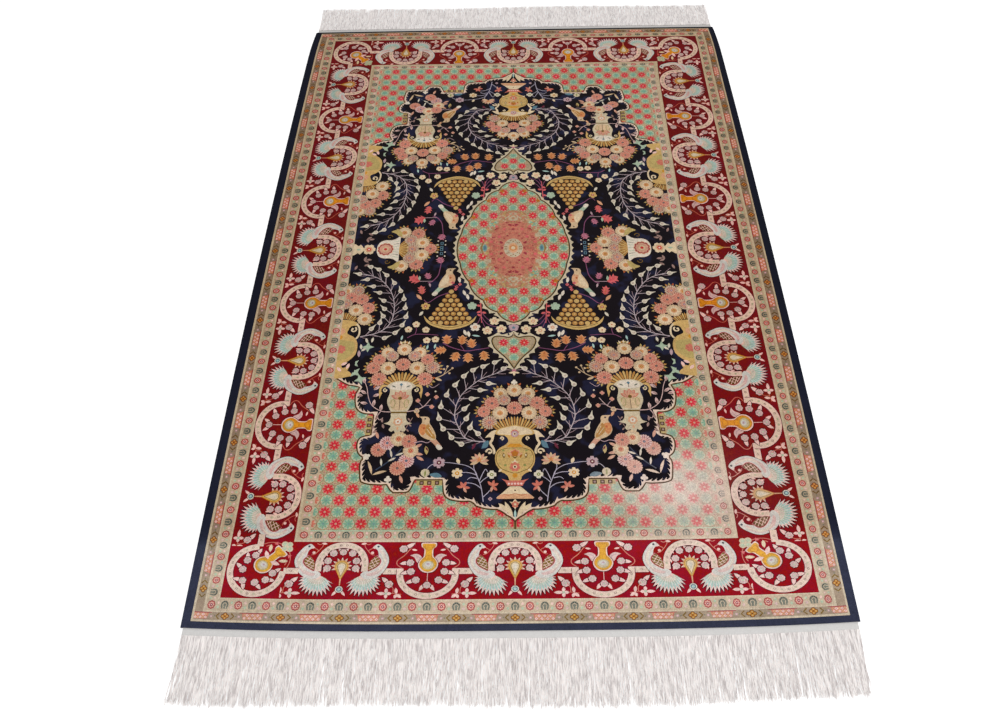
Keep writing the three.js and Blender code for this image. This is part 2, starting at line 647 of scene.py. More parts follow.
def peacock() -> Drawing:
    """A peacock that faces x = 0, with its head at the border's inner edge and its tail outwards."""
    drawing = Drawing()
    hip = 36 + 58j
    turns = np.linspace(146, 16, 14)
    tips = np.interp(turns, [16, 50, 76, 118, 146], [28, 38, 39, 41, 31])
    for dye, reach, valley in (
        (Dye.SHADE, 1.05, 0.86),
        (Dye.IVORY_PINK, 1.0, 0.74),
        (Dye.SKY, 0.84, 0.64),
        (Dye.PALE_PINK, 0.5, 0.44),
    ):
        ends, hollows = tips * reach * np.exp(1j * np.radians(turns)), tips * valley * np.exp(
            1j * np.radians(turns - 5)
        )
        drawing.lay(dye, np.concatenate([[0], np.stack([ends, hollows], 1).ravel()[:-1]]), at=hip)
    for turn, reach in zip(turns, tips):
        drawing.lay(Dye.DOVE, ribbon(np.array([reach * 0.3, reach * 0.7]) * way(turn - 5), 0.8, 1.5), at=hip)
        drawing.lay(Dye.CELADON, ribbon(np.array([9, reach * 0.56]) * way(turn), 0.6, 1.2), at=hip)
    body = [
        45.5 + 11j, 45.5 + 11j, 52 + 13j, 55.5 + 18j, 57 + 26j, 60 + 34j, 56 + 44j, 47 + 52j, 36 + 54j,
        31 + 60j, 38 + 67j,
    ]
    body += [52 + 66j, 62 + 60j, 69 + 50j, 73.5 + 38j, 72.5 + 27j, 67 + 16j, 61 + 8j, 54 + 4j, 50 + 6j]
    drawing.lay(Dye.MAROON, flowing([place + 0.9 for place in body[2:-1]], 2))
    drawing.lay(Dye.DOVE, flowing(body, 3))
    drawing.lay(
        Dye.BLUSH,
        flowing(
            [
                56 + 15j, 62 + 24j, 66 + 36j, 60 + 49j, 48 + 56j, 40 + 58j, 44 + 62j, 58 + 58j, 68 + 44j,
                70 + 32j, 64 + 18j,
            ],
            2,
        ),
    )
    drawing.lay(
        Dye.IVORY,
        flowing([60 + 14j, 66 + 24j, 69 + 36j, 65 + 47j, 54 + 57j, 62 + 46j, 65 + 36j, 62 + 24j], 2),
    )
    wing = [53 + 24j, 53 + 24j, 60 + 31j, 60.5 + 39j, 54 + 47j, 42 + 54j, 42 + 54j, 41 + 45j, 45 + 33j]
    drawing.lay(Dye.PALE_PINK, flowing([place + 1.4 + 0.3j for place in wing], 3))
    drawing.lay(Dye.GARNET, flowing([place + 0.4 for place in wing], 3))
    drawing.lay(Dye.OLIVE, flowing([49 + (place - 49 - 39j) * 0.88 + 39j for place in wing], 3))
    bars = ((57 + 28j, 45 + 35j), (59 + 32.5j, 43.5 + 40j), (59 + 38j, 43 + 45.5j), (55 + 43j, 43 + 50j))
    for start, end in (*bars, (50 + 29j, 57 + 41j), (46 + 34j, 53 + 45j), (44 + 42j, 49 + 49j)):
        drawing.lay(Dye.PALE_PINK, ribbon(np.array([start, end]), 0.9))
    drawing.lay(Dye.INK, disc(1.9, 8), at=55 + 8.5j)
    drawing.lay(Dye.SLATE, disc(0.8, 4), at=55 + 8.5j)
    drawing.lay(Dye.PALE_PINK, np.array([45.5 + 11j, 50 + 9j, 50 + 13j]))
    return drawing


def arch_palmette() -> Drawing:
    """What stands under the inward arch: a golden palmette with rays, and the buds round it."""
    drawing = Drawing()
    for turn in np.linspace(-22, 202, 9):
        ray = np.array([-3.4 + 8j, 17.2j, 3.4 + 8j])
        drawing.lay(Dye.MAROON, ray * 1.1, at=45j, turn=-turn - 90)
        drawing.lay(Dye.PEACH, ray, at=45j, turn=-turn - 90)
        drawing.lay(Dye.IVORY_PINK, np.array([-1.5 + 13j, 16.4j, 1.5 + 13j]), at=45j, turn=-turn - 90)
    for dye, radius, length in (
        (Dye.GOLD, 10.6, 24.5), (Dye.PALE_GOLD, 8.8, 21.5), (Dye.OLIVE, 6.9, 18), (Dye.CREAM, 6.1, 16.5),
        (Dye.PEARL, 3.6, 11),
    ):
        drawing.lay(dye, drop(radius, length, 12), at=45j)
    drawing.lay(Dye.PEACH, ribbon(np.array([67j, 79j]), 2.4, 1.6))
    for place in (15 + 21j, 22.5 + 35j, 22.5 + 48.5j):
        drawing.both(bud(), at=place)
    for side in (-1, 1):
        for place, turn in ((24 + 26j, 40), (29 + 43j, 12), (27 + 56j, -10)):
            drawing.lay(
                Dye.PALE_PINK, leaf(8, 3.2), at=side * place.real + 1j * place.imag, turn=-side * (180 - turn)
            )
        drawing.lay(Dye.IVORY_PINK, leaf(13, 4.4, side * 2), at=side * 3 + 86j, turn=-side * 26)
        drawing.lay(Dye.BLUSH, leaf(11, 5), at=side * 1 + 20j, turn=-side * (180 - 42))
    drawing.stamp(bud(5.6), at=19j)
    for dye, radius in ((Dye.INK, 6.6), (Dye.IVORY, 5.8), (Dye.SLATE, 4.2), (Dye.SKY, 2.4)):
        drawing.lay(dye, disc(radius, 9, 1.05), at=85.5j)
    return drawing


def lantern(winged: bool = True) -> Drawing:
    """A golden lantern with a pale belly, with or without a pale leaf at each shoulder."""
    drawing = Drawing()
    for side in (-1, 1) if winged else ():
        wing = flowing(
            [
                side * x + 1j * y
                for x, y in ((8, 37), (12, 26), (20, 22), (29, 25), (29, 25), (22, 29), (17, 38))
            ],
            3,
        )
        drawing.lay(Dye.BLUSH, wing)
        drawing.lay(
            Dye.LILAC,
            ribbon(flowing([side * 12 + 33j, side * 16 + 27j, side * 23 + 25.5j], 2, closed=False), 1.4, 0.6),
        )
    rows = [
        (0, 56.5), (8, 54.5), (14, 48), (15.6, 40), (12, 32), (8, 27.5), (7, 20), (7.6, 13), (11.5, 9),
        (12.4, 4), (10, 1.5), (0, 1.5),
    ]
    for dye, inset in ((Dye.MAROON, -1.1), (Dye.IVORY_PINK, 0.0), (Dye.GOLD, 1.8)):
        drawing.lay(
            dye,
            turned(
                [(max(0, half - inset), 29 + (height - 29) * (1 - inset / 28)) for half, height in rows], 3
            ),
        )
    drawing.lay(Dye.GOLDEN, turned([(0, 34), (6, 32), (4.6, 26), (4.4, 14), (7.5, 8), (8.6, 4.6), (0, 4)], 2))
    for dye, inset in ((Dye.AMBER, 0.0), (Dye.GOLDEN, 1.1)):
        drawing.lay(dye, turned([(0, 33 - inset), (6 - inset, 31.6), (4.8 - inset, 26), (0, 25 + inset)], 2))
        drawing.lay(dye, turned([(0, 16 - inset), (4.4 - inset, 14), (7.5 - inset, 7), (0, 6 + inset)], 2))
    for dye, radius, at in (
        (Dye.GOLDEN, 10.6, 42), (Dye.STRAW, 8.6, 42.6), (Dye.ECRU, 7.0, 42.4), (Dye.DOVE, 4.4, 41)
    ):
        drawing.lay(dye, disc(radius, 12, 1.16), at=1j * at)
    drawing.lay(Dye.LILAC, disc(1.8, 6, 1.5), at=40.5j)
    return drawing


def band_along(drawing: Drawing, lines: list[Places]) -> None:
    """Lays the cream band along lines: a dark rim, a pink edge, a pale middle and small faint rings."""
    for dye, width in ((Dye.MAROON, 12.2), (Dye.PALE_PINK, 10.4), (Dye.REED, 7.2)):
        drawing.lay(dye, *(ribbon(line, width) for line in lines))
    for line in lines:
        places, heading = spaced(line, 1 + round(np.abs(np.diff(line)).sum() / 10.5))
        for i, (place, along) in enumerate(zip(places[1:-1], heading[1:-1])):
            drawing.lay(Dye.SAND if i % 2 else Dye.TAUPE, disc(2.0, 7, 1.2) * along, at=place)
            drawing.lay(Dye.CELADON if i % 2 else Dye.REED, disc(1.2, 5) * along, at=place)


def meander(length: float) -> Drawing:
    """Half of one turn of the cream band that winds between the birds, from one arch's top to the next."""
    drawing = Drawing()
    turn = np.radians(np.linspace(0, 90, 13))
    inner = 36.8 * np.sin(turn) ** 0.9 + 1j * (43 - 37 * np.cos(turn))
    shade = 30.6 * np.sin(turn) ** 0.9 + 1j * (43 - 31 * np.cos(turn))
    drawing.lay(Dye.MAROON, ribbon(np.concatenate([[-3 + 12j], shade, [31 + 54j]]), 2.6))
    outer = length - 43 * np.cos(turn) + 1j * (59 + 38 * np.sin(turn))
    step = np.array([66 + 53.5j, length - 43 + 4.7 + 53.5j])
    band_along(drawing, [np.concatenate([[-6 + 6j], inner, [36.5 + 54j]]), step])
    band_along(drawing, [np.concatenate([[length - 43 + 50j], outer, [length + 6 + 97j]])])
    return drawing


@dataclass(frozen=True)
class MainBorder:
    """The crimson border of birds, arches and lanterns.

    Attributes:
        width: Its width.
        pitch: From a peacock arch's middle to a lantern's middle.
        last: From the last peacock arch's middle to the inner corner.
    """

    width: float = 103.0
    pitch: float = 135.5
    last: float = 79.0

    def unit(self) -> Drawing:
        """Half a peacock arch at x = 0 and half a lantern at one pitch from it."""
        drawing = Drawing()
        self.spandrels(drawing)
        drawing.stamp(meander(self.pitch))
        drawing.stamp(arch_palmette())
        drawing.stamp(peacock())
        drawing.stamp(lantern(), at=self.pitch)
        for place, tip in ((-28 + 38j, -12 + 0.5j), (-26 + 54j, -12 + 2j), (-17.5 + 69j, -12 + 3j)):
            drawing.stamp(tipped_bud(tip), at=self.pitch + place)
        drawing.lay(Dye.PALE_PINK, ribbon(np.array([57j, 75j]) + self.pitch, 1.0))
        drawing.lay(Dye.IVORY_PINK, leaf(15, 6, 2.5), at=self.pitch - 2.5 + 76j, turn=48)
        drawing.stamp(bud(5.8), at=self.pitch + 78j)
        return drawing

    def spandrels(self, drawing: Drawing) -> None:
        """Lays the stems, sprays and small flowers of the red ground."""
        tendril = flowing([-22 + 4j, -30 + 14j, -38 + 25j, -48 + 34j, -48 + 42j, -38 + 49j], 4, closed=False)
        drawing.lay(Dye.SALMON, ribbon(tendril + self.pitch, 1.4))
        drawing.stamp(tipped_bud(15 - 8j, radius=6.5), at=self.pitch - 40 + 13j)
        drawing.lay(Dye.PALE_PINK, leaf(9, 3.5), at=self.pitch - 27 + 14j, turn=-80)
        for line in (
            [34 + 2j, 34 + 9j, 44 + 22j, 50 + 24j],
            [32 + 1j, 38 + 5j, 43 + 3j],
            [44 + 22j, 40 + 16j, 46 + 12j],
        ):
            drawing.lay(Dye.SALMON, ribbon(flowing(line, 3, closed=False), 1.1))
        drawing.lay(Dye.PALE_PINK, disc(2.6, 7), at=46.5 + 20j)
        drawing.lay(Dye.PALE_PINK, leaf(9, 4), at=27 + 4j, turn=-100)
        drawing.stamp(tipped_bud(-8 - 10j, radius=6.3), at=77 + 76.5j)
        for line in ([79 + 76j, 84 + 84j, 84 + 92j], [84 + 92j, 74 + 93j], [84 + 92j, 97 + 94j]):
            drawing.lay(Dye.SALMON, ribbon(flowing(line, 2, closed=False), 1.1))
        for turn, length in ((180, 9.5), (-90, 8.5), (0, 8.5), (90, 15)):
            drawing.lay(Dye.IVORY_PINK, leaf(length, 5.6), at=73.5 + 92.5j, turn=turn)
        drawing.lay(Dye.CELADON, disc(2.4, 6), at=73.5 + 92.5j)
        for turn, length in ((172, 11), (20, 8), (-50, 10)):
            drawing.lay(Dye.PALE_PINK, leaf(length, 5.4), at=89.5 + 93.5j, turn=turn)

    def corner_half(self) -> Drawing:
        """Half of a corner: from a peacock arch's middle at x = 0 to the diagonal of the corner."""
        drawing = Drawing()
        self.spandrels(drawing)
        drawing.stamp(meander(self.pitch))
        drawing.stamp(arch_palmette())
        drawing.stamp(peacock())
        corner = self.last
        drawing.lay(Dye.CRIMSON, np.array([88.5, 200, 200, 88.5]) + 1j * np.array([-5, -5, 110, 110]))
        turn = np.radians(np.linspace(178, -88, 34))
        ring = corner + 53 + 53j + 42.5 * np.exp(1j * turn)
        band_along(drawing, [np.array([66 + 53.5j, corner + 9 + 53.5j]), ring])
        drawing.stamp(lantern(winged=False), at=corner + 14 + 14j, turn=-45)
        for place, tip in (
            (26 + 58j, -8 - 7j), (35.5 + 70j, -10.5), (52 + 75j, -9 + 8j), (72 + 72j, -4 + 12j)
        ):
            drawing.stamp(tipped_bud(tip), at=corner + place)
        drawing.lay(
            Dye.SALMON, ribbon(flowing([10 + 10j, 3 + 24j, 2 + 38j, 6 + 50j], 3, closed=False) + corner, 1.2)
        )
        drawing.lay(Dye.CREAM, leaf(15, 6), at=corner + 5 + 36j, turn=-90)
        drawing.lay(Dye.CHERRY_PINK, star(4.2, 1.8, 3, 200), at=corner + 4 + 27j)
        for petal in (5 + 14j, 13 + 13j, 6 + 6j):
            drawing.lay(Dye.ECRU, disc(5.4, 9), at=corner + petal)
            drawing.lay(Dye.CELADON, disc(3.0, 7), at=corner + petal)
        drawing.lay(Dye.IVORY_PINK, leaf(17, 7), at=corner + 33 + 37j, turn=69)
        return drawing

    def edge(self, start: float, end: float) -> Places:
        """The outline of a stretch of border."""
        return np.array([start, end, end + 1j * self.width, start + 1j * self.width])

    def made(self, inner: tuple[float, float]) -> Mosaic:
        """The whole border.

        Args:
            inner: Half the width and half the length of what it goes round.

        Returns:
            Its faces.
        """
        unit = self.unit().cut(self.edge(0, self.pitch), Dye.CRIMSON)
        diagonal = np.array([0, self.last, self.last + self.width * (1 + 1j), 1j * self.width])
        corner = self.corner_half().cut(diagonal, Dye.CRIMSON, spare=False)
        quarter = []
        for half, other, units in ((inner[0], inner[1], 2), (inner[1], inner[0], 4)):
            stretch = (half - self.last) / units / self.pitch
            strip = []
            for i in range(units):
                start = i * self.pitch
                flip = i % 2
                strip.append(
                    unit.moved(
                        lambda p: (start + (self.pitch - p.real if flip else p.real)) * stretch + 1j * p.imag
                    )
                )
            strip.append(corner.moved(lambda p: p + half - self.last))
            side = Mosaic.joined(strip)
            quarter.append(
                side.moved(lambda p: p + 1j * other) if half == inner[0] else side.moved(
                    lambda p: other + p.imag + 1j * p.real
                )
            )
        return four_ways(Mosaic.joined(quarter))


def two_ways(quarter: Mosaic) -> Mosaic:
    """A quarter of the design with its mirror image to the right."""
    return Mosaic.joined([quarter, quarter.moved(lambda p: -p.conjugate())])


def four_ways(quarter: Mosaic) -> Mosaic:
    """A quarter of the design, mirrored left to right and end to end."""
    half = two_ways(quarter)
    return Mosaic.joined([half, half.moved(np.conjugate)])


# ---- Guards ----


def guard_rosette() -> Drawing:
    """A small dull pink rosette with a pale ring."""
    drawing = Drawing()
    drawing.lay(Dye.GARNET, petalled(6.4, 8, 0.12))
    drawing.lay(Dye.SALMON, petalled(5.2, 8, 0.2))
    drawing.lay(Dye.PALE_PINK, star(4.4, 2.6, 8))
    drawing.lay(Dye.GARNET, disc(2.6, 8))
    drawing.lay(Dye.IVORY, disc(1.2, 4))
    return drawing


def guard_arch() -> Drawing:
    """A small grey horseshoe with a stem in its middle, open downwards."""
    drawing = Drawing()
    turn = np.radians(np.linspace(-40, 220, 12))
    drawing.lay(Dye.SAGE, np.concatenate([6.4 * np.exp(1j * turn), [-5.2 - 5.4j, 5.2 - 5.4j]]))
    drawing.lay(
        Dye.SAND,
        ribbon(3.0 * np.exp(1j * turn), 1.0),
        ribbon(np.array([-1.9 - 1j, -2.4 - 5j]), 1.2),
        ribbon(np.array([1.9 - 1j, 2.4 - 5j]), 1.2),
    )
    for place in (-3.9 + 2.8j, 3.9 + 2.8j, -1.5 + 4.6j, 1.5 + 4.6j):
        drawing.lay(Dye.INK, disc(0.9, 4), at=place)
    return drawing


def guard_quatrefoil() -> Drawing:
    """Four small gold diamonds with dark rims, between two olive brackets."""
    drawing = Drawing()
    for place in (-3.5, 3.5, 3.1j, -3.1j):
        drawing.lay(Dye.BROWN, disc(3.5, 8), at=place)
    for place in (-3.5, 3.5, 3.1j, -3.1j):
        drawing.lay(Dye.AMBER, disc(2.6, 8), at=place)
        drawing.lay(Dye.PALE_GOLD, disc(1.3, 5), at=place)
    for side in (-1, 1):
        bracket = side * np.array([9.6 + 5j, 14.5, 9.6 - 5j])
        drawing.lay(Dye.OLIVE, ribbon(bracket, 2.2))
        drawing.lay(Dye.SAGE, disc(1.4, 4), at=side * 17.4)
    return drawing


def guard_cartouche() -> Drawing:
    """A salmon cartouche with a lattice, and a dark line along its inner side."""
    drawing = Drawing()
    frame = np.array([-17 + 5.2j, -14 - 5j, 14 - 5j, 17 + 5.2j])
    drawing.lay(Dye.SALMON, frame)
    for i in range(-3, 4):
        for row in (-2.3, 2.3):
            drawing.lay(
                Dye.IVORY_PINK if (i + (row > 0)) % 2 else Dye.PEACH, disc(2.2, 6), at=i * 4.1 + 1j * row
            )
            drawing.lay(Dye.GARNET, disc(0.7, 4), at=i * 4.1 + 1j * row)
    drawing.lay(Dye.GARNET, np.array([-21 + 6.6j, -21 + 5.4j, 21 + 5.4j, 21 + 6.6j]))
    for side in (-1, 1):
        drawing.lay(Dye.LILAC, disc(2.8, 4), at=side * 21 - 0.4j)
        drawing.lay(Dye.PALE_PINK, disc(1.3, 4), at=side * 21 - 0.4j)
    return drawing


@dataclass(frozen=True)
class Guards:
    """The narrow bands on both sides of the main border, and the plain edge."""

    @staticmethod
    def quarter_edge(start: str, end: str) -> Places:
        """The outline of a quarter of the bands between two lines of OUTWARDS."""
        (x0, y0), (x1, y1) = (tuple(half + OUTWARDS[name] for half in FIELD) for name in (start, end))
        return np.array([x0, x1, x1 + 1j * y1, 1j * y1, 1j * y0, x0 + 1j * y0])

    def band(self, drawing: Drawing, dye: Dye, start: str, end: str) -> None:
        """Lays one plain band."""
        drawing.lay(dye, self.quarter_edge(start, end))

    def run(
        self, drawing: Drawing, start: str, end: str, steps: tuple[int, int], motifs: list[Drawing]
    ) -> None:
        """Lays motifs in turn along the middle of a band, from both axes to the corner.

        Args:
            drawing: The drawing.
            start: The band's inner line.
            end: Its outer line.
            steps: How many steps there are to the corner along a short and a long side.
            motifs: The motifs, the first on the axes. They are drawn with the rug's middle upwards.
        """
        middle = (OUTWARDS[start] + OUTWARDS[end]) / 2
        x, y = FIELD[0] + middle, FIELD[1] + middle
        for i in range(steps[0] + 1):
            drawing.stamp(motifs[i % len(motifs)], at=x * i / steps[0] + 1j * y, turn=180)
        for i in range(steps[1]):
            drawing.stamp(motifs[i % len(motifs)], at=x + 1j * y * i / steps[1], turn=90)

    def inner(self) -> Mosaic:
        """The bands inside the main border."""
        drawing = Drawing()
        self.run(drawing, "field", "inner guard", (15, 27), [guard_arch(), guard_rosette()])
        self.blots(drawing, "field", "inner guard", (15, 27))
        self.band(drawing, Dye.LINE, "inner guard", "inner line")
        (x, y), green = FIELD, 2.4
        drawing.lay(Dye.CELADON, np.array([x + 1j * y, x + 1j * (y + green), 1j * (y + green), 1j * y]))
        return four_ways(drawing.cut(self.quarter_edge("field", "inner line"), Dye.SAND))

    def blots(self, drawing: Drawing, start: str, end: str, steps: tuple[int, int]) -> None:
        """Lays the small pink and green leaves between the rosettes."""
        middle = (OUTWARDS[start] + OUTWARDS[end]) / 2
        x, y = FIELD[0] + middle, FIELD[1] + middle
        for i in range(steps[0]):
            place = x * (i + 0.5) / steps[0] + 1j * y
            drawing.lay(Dye.BLUSH if i % 2 else Dye.CELADON, disc(2.4, 5), at=place + 3.2j)
            drawing.lay(Dye.CELADON if i % 2 else Dye.PALE_PINK, disc(2.2, 5), at=place - 3.4j)
        for i in range(steps[1]):
            place = x + 1j * y * (i + 0.5) / steps[1]
            drawing.lay(Dye.BLUSH if i % 2 else Dye.CELADON, disc(2.4, 5), at=place + 3.2)
            drawing.lay(Dye.CELADON if i % 2 else Dye.PALE_PINK, disc(2.2, 5), at=place - 3.4)

    def outer(self) -> Mosaic:
        """The bands outside the main border."""
        drawing = Drawing()
        self.band(drawing, Dye.SAND, "outer line", "rosette guard")
        self.run(drawing, "outer line", "rosette guard", (21, 35), [guard_arch(), guard_rosette()])
        self.blots(drawing, "outer line", "rosette guard", (21, 35))
        self.band(drawing, Dye.LINE, "rosette guard", "plain line")
        self.band(drawing, Dye.BUFF, "plain line", "outer guard")
        self.run(drawing, "plain line", "outer guard", (11, 17), [guard_quatrefoil(), guard_cartouche()])
        self.band(drawing, Dye.LINE, "outer guard", "last line")
        return four_ways(drawing.cut(self.quarter_edge("border", "last line"), Dye.LINE))

    def edge(self) -> Mosaic:
        """The plain dark edge, up to the side cords."""
        line = self.quarter_edge("last line", "edge")
        line[1:3] -= SELVEDGE
        return four_ways(Drawing().cut(line, Dye.EDGE_NAVY))


# ---- Flowers, leaves and branches of the field ----


def pompon(radius: float = 13.0, core: Dye = Dye.SAGE, gap: Dye = Dye.ROSE, ray: Dye = Dye.PETAL) -> Drawing:
    """A full pink flower of fine pale and rose petals."""
    drawing = Drawing()
    drawing.lay(ray, petalled(radius, 18, 0.14))
    drawing.lay(gap, star(radius * 0.99, radius * 0.46, 18, 100))
    drawing.lay(ray, star(radius * 0.78, radius * 0.36, 12))
    drawing.lay(Dye.SALMON, star(radius * 0.54, radius * 0.36, 12, 105))
    drawing.lay(ray, disc(radius * 0.32, 8))
    drawing.lay(Dye.GARNET, disc(radius * 0.22, 7))
    drawing.lay(core, disc(radius * 0.15, 6))
    return drawing


def open_flower(radius: float = 13.0, heart: Dye = Dye.AMBER) -> Drawing:
    """A round cream flower with a golden heart."""
    drawing = Drawing()
    drawing.lay(Dye.BISCUIT, petalled(radius, 14, 0.1))
    drawing.lay(Dye.SAND, star(radius * 0.93, radius * 0.42, 14, 103))
    drawing.lay(Dye.CREAM, star(radius * 0.8, radius * 0.48, 14))
    drawing.lay(Dye.ORANGE, disc(radius * 0.4, 8))
    drawing.lay(Dye.PEACH, disc(radius * 0.33, 8))
    drawing.lay(heart, star(radius * 0.3, radius * 0.16, 6))
    drawing.lay(Dye.PALE_GOLD, disc(radius * 0.1, 5))
    return drawing


def bouquet(rows: list[tuple[float, float, float, str]], middle: complex) -> Drawing:
    """Flowers packed in a dome, the last on top, with leaf tips past the outermost.

    Args:
        rows: x, y, radius and kind of each flower; kind is cream, pink, grey or red.
        middle: The dome's middle.

    Returns:
        The drawing.
    """
    drawing = Drawing()
    for x, y, radius, _ in rows:
        out = complex(x, y) - middle
        if abs(out) < radius * 1.4:
            continue
        turn = math.degrees(cmath.phase(out))
        for swing, dye in ((-38, Dye.STRAW), (-12, Dye.HONEY), (12, Dye.STRAW), (38, Dye.RUST)):
            tip = leaf(radius + 7.0, radius * 0.46)
            drawing.lay(dye, tip, at=complex(x, y), turn=turn + swing - 90)
    for x, y, radius, _ in rows:
        drawing.lay(Dye.SHADE, disc(radius + 1.6, 12), at=complex(x, y))
    drawing.lay(Dye.SHADE, disc(14, 12), at=sum(complex(x, y) for x, y, _, _ in rows) / len(rows))
    kinds = {
        "cream": open_flower(),
        "pink": pompon(),
        "grey": pompon(core=Dye.LILAC, gap=Dye.GARNET, ray=Dye.SAND),
        "red": open_flower(heart=Dye.CHERRY),
    }
    for x, y, radius, kind in rows:
        drawing.lay(Dye.MAROON, disc(radius + 0.5, 14), at=complex(x, y))
        drawing.stamp(kinds[kind], at=complex(x, y), size=radius / 12.5)
    return drawing


def pear() -> Drawing:
    """A small pale fruit about the origin with its tip upwards."""
    drawing = Drawing()
    rows = [(0, -4.9), (2.6, -4.4), (4.7, -1.6), (4.6, 1.4), (2.7, 4.4), (1.5, 7.4), (0.3, 14.0)]
    drawing.lay(Dye.PEARL, turned(rows, 2))
    drawing.lay(Dye.TAUPE, disc(2.3, 6), at=-0.3j)
    drawing.lay(Dye.IVORY, disc(1.2, 5), at=-0.2j)
    return drawing


def branch(stem: list[complex], fruits: list[complex], fruit: Drawing, lean: float = 14.0) -> Drawing:
    """A stem with a stalk to each fruit.

    Args:
        stem: Places along the stem, from its root.
        fruits: Where the fruits are.
        fruit: The fruit, drawn with its tip upwards.
        lean: How far further back a stalk starts than the nearest place of the stem.

    Returns:
        The drawing.
    """
    drawing = Drawing()
    line = flowing(stem, 5, closed=False)
    lengths = np.concatenate([[0], np.cumsum(np.abs(np.diff(line)))])
    way_on = np.gradient(line)
    bend = np.angle(way_on[1:] / way_on[:-1]).sum()
    for place in fruits:
        at = max(0.0, lengths[np.argmin(np.abs(line - place))] - lean)
        root = complex(np.interp(at, lengths, line.real), np.interp(at, lengths, line.imag))
        drawing.lay(Dye.STEM, ribbon(np.array([root, place]), 1.2, 1.0))
        on = way_on[np.argmin(np.abs(line - place))]
        swing = cmath.phase((place - root) / on)
        lean_in = 0.8 if swing * bend > 0 else 0.1
        drawing.stamp(fruit, at=place, turn=math.degrees(cmath.phase(on) + swing * lean_in) - 90)
    places, heading = spaced(line, round(lengths[-1] / 9))
    for i, (place, heading_on) in enumerate(zip(places, heading)):
        side = 1 if i % 2 else -1
        twig = place + heading_on * np.array([0, 8 * way(34 * side), 17 * way(28 * side)])
        drawing.lay(Dye.LILAC, ribbon(flowing(twig, 2, closed=False), 0.9, 0.6))
    drawing.lay(Dye.STEM, ribbon(line, 1.9, 1.2))
    return drawing


def sprig(line: list[complex], dye: Dye, width: float = 1.5) -> Drawing:
    """A thin stem through places."""
    drawing = Drawing()
    drawing.lay(dye, ribbon(flowing(line, 4, closed=False), width, width * 0.7))
    return drawing


def small_flower(radius: float, petals: int, dye: Dye, heart: Dye) -> Drawing:
    """A small open flower."""
    drawing = Drawing()
    drawing.lay(dye, petalled(radius, petals, 0.3))
    drawing.lay(heart, disc(radius * 0.42, 6))
    drawing.lay(Dye.IVORY, disc(radius * 0.18, 4))
    return drawing


def lobed_leaf(length: float, width: float, dye: Dye, vein: Dye, lobes: int = 3) -> Drawing:
    """A leaf with pointed lobes on both sides, along +Y from the origin."""
    drawing = Drawing()
    right = [0.8 + 0j]
    for i in range(lobes):
        share = (i + 0.6) / (lobes + 0.6)
        reach = width / 2 * math.sin(math.pi * (0.28 + 0.52 * share))
        right += [reach + 1j * length * (share + 0.1), reach * 0.46 + 1j * length * (share + 0.07)]
    outline = np.array([*right, 1j * length])
    drawing.lay(dye, np.concatenate([outline, -np.conj(outline[-2::-1])]))
    drawing.lay(vein, ribbon(np.array([0, 1j * length * 0.75]), 1.3, 0.5))
    for share in (0.25, 0.5):
        for side in (-1, 1):
            drawing.lay(
                vein,
                ribbon(
                    np.array([1j * length * share, side * width * 0.26 + 1j * length * (share + 0.18)]),
                    0.8,
                    0.4,
                ),
            )
    return drawing


def trefoil() -> Drawing:
    """Three pale round leaves on a stalk, upwards."""
    drawing = Drawing()
    for place in (-3.6 + 2j, 3.6 + 2j, 6.6j):
        drawing.lay(Dye.IVORY, disc(3.4, 8), at=place)
    drawing.lay(Dye.IVORY, np.array([-2 - 4j, 2 - 4j, 2 + 4j, -2 + 4j]))
    return drawing


# ---- Urns ----


def ray_crown(reach: float, base: float, spread: float, rays: int) -> Drawing:
    """A fan of golden rays about the origin, upwards.

    Args:
        reach: How far the rays reach.
        base: Where they start.
        spread: Half the angle of the fan, in degrees.
        rays: How many rays.

    Returns:
        The drawing.
    """
    drawing = Drawing()
    rim = np.radians(np.linspace(90 - spread - 3, 90 + spread + 3, 14))
    drawing.lay(Dye.BROWN, np.concatenate([(reach - 4) * np.exp(1j * rim), base * np.exp(1j * rim[::-1])]))
    half = math.radians(2 * spread / (rays - 1)) * reach * 0.3
    ray = flowing(
        [
            base - 1j * half * 0.5, reach * 0.9 - 1j * half, reach + 0j, reach * 0.9 + 1j * half,
            base + 1j * half * 0.5,
        ],
        2,
    )
    for i, angle in enumerate(np.linspace(90 - spread, 90 + spread, rays)):
        drawing.lay(Dye.PALE_GOLD if i % 2 else Dye.HONEY, ray, turn=angle)
    return drawing


def curl(size: float, width: float, dye: Dye) -> Drawing:
    """A spiral scroll about the origin that starts on its right and turns inwards."""
    drawing = Drawing()
    turn = np.linspace(0, 1.6 * np.pi, 12)
    line = size * (1 - 0.62 * turn / turn[-1]) * np.exp(-1j * turn)
    drawing.lay(dye, ribbon(line, width, width * 0.7))
    drawing.lay(dye, disc(width * 0.75, 6), at=line[-1])
    return drawing


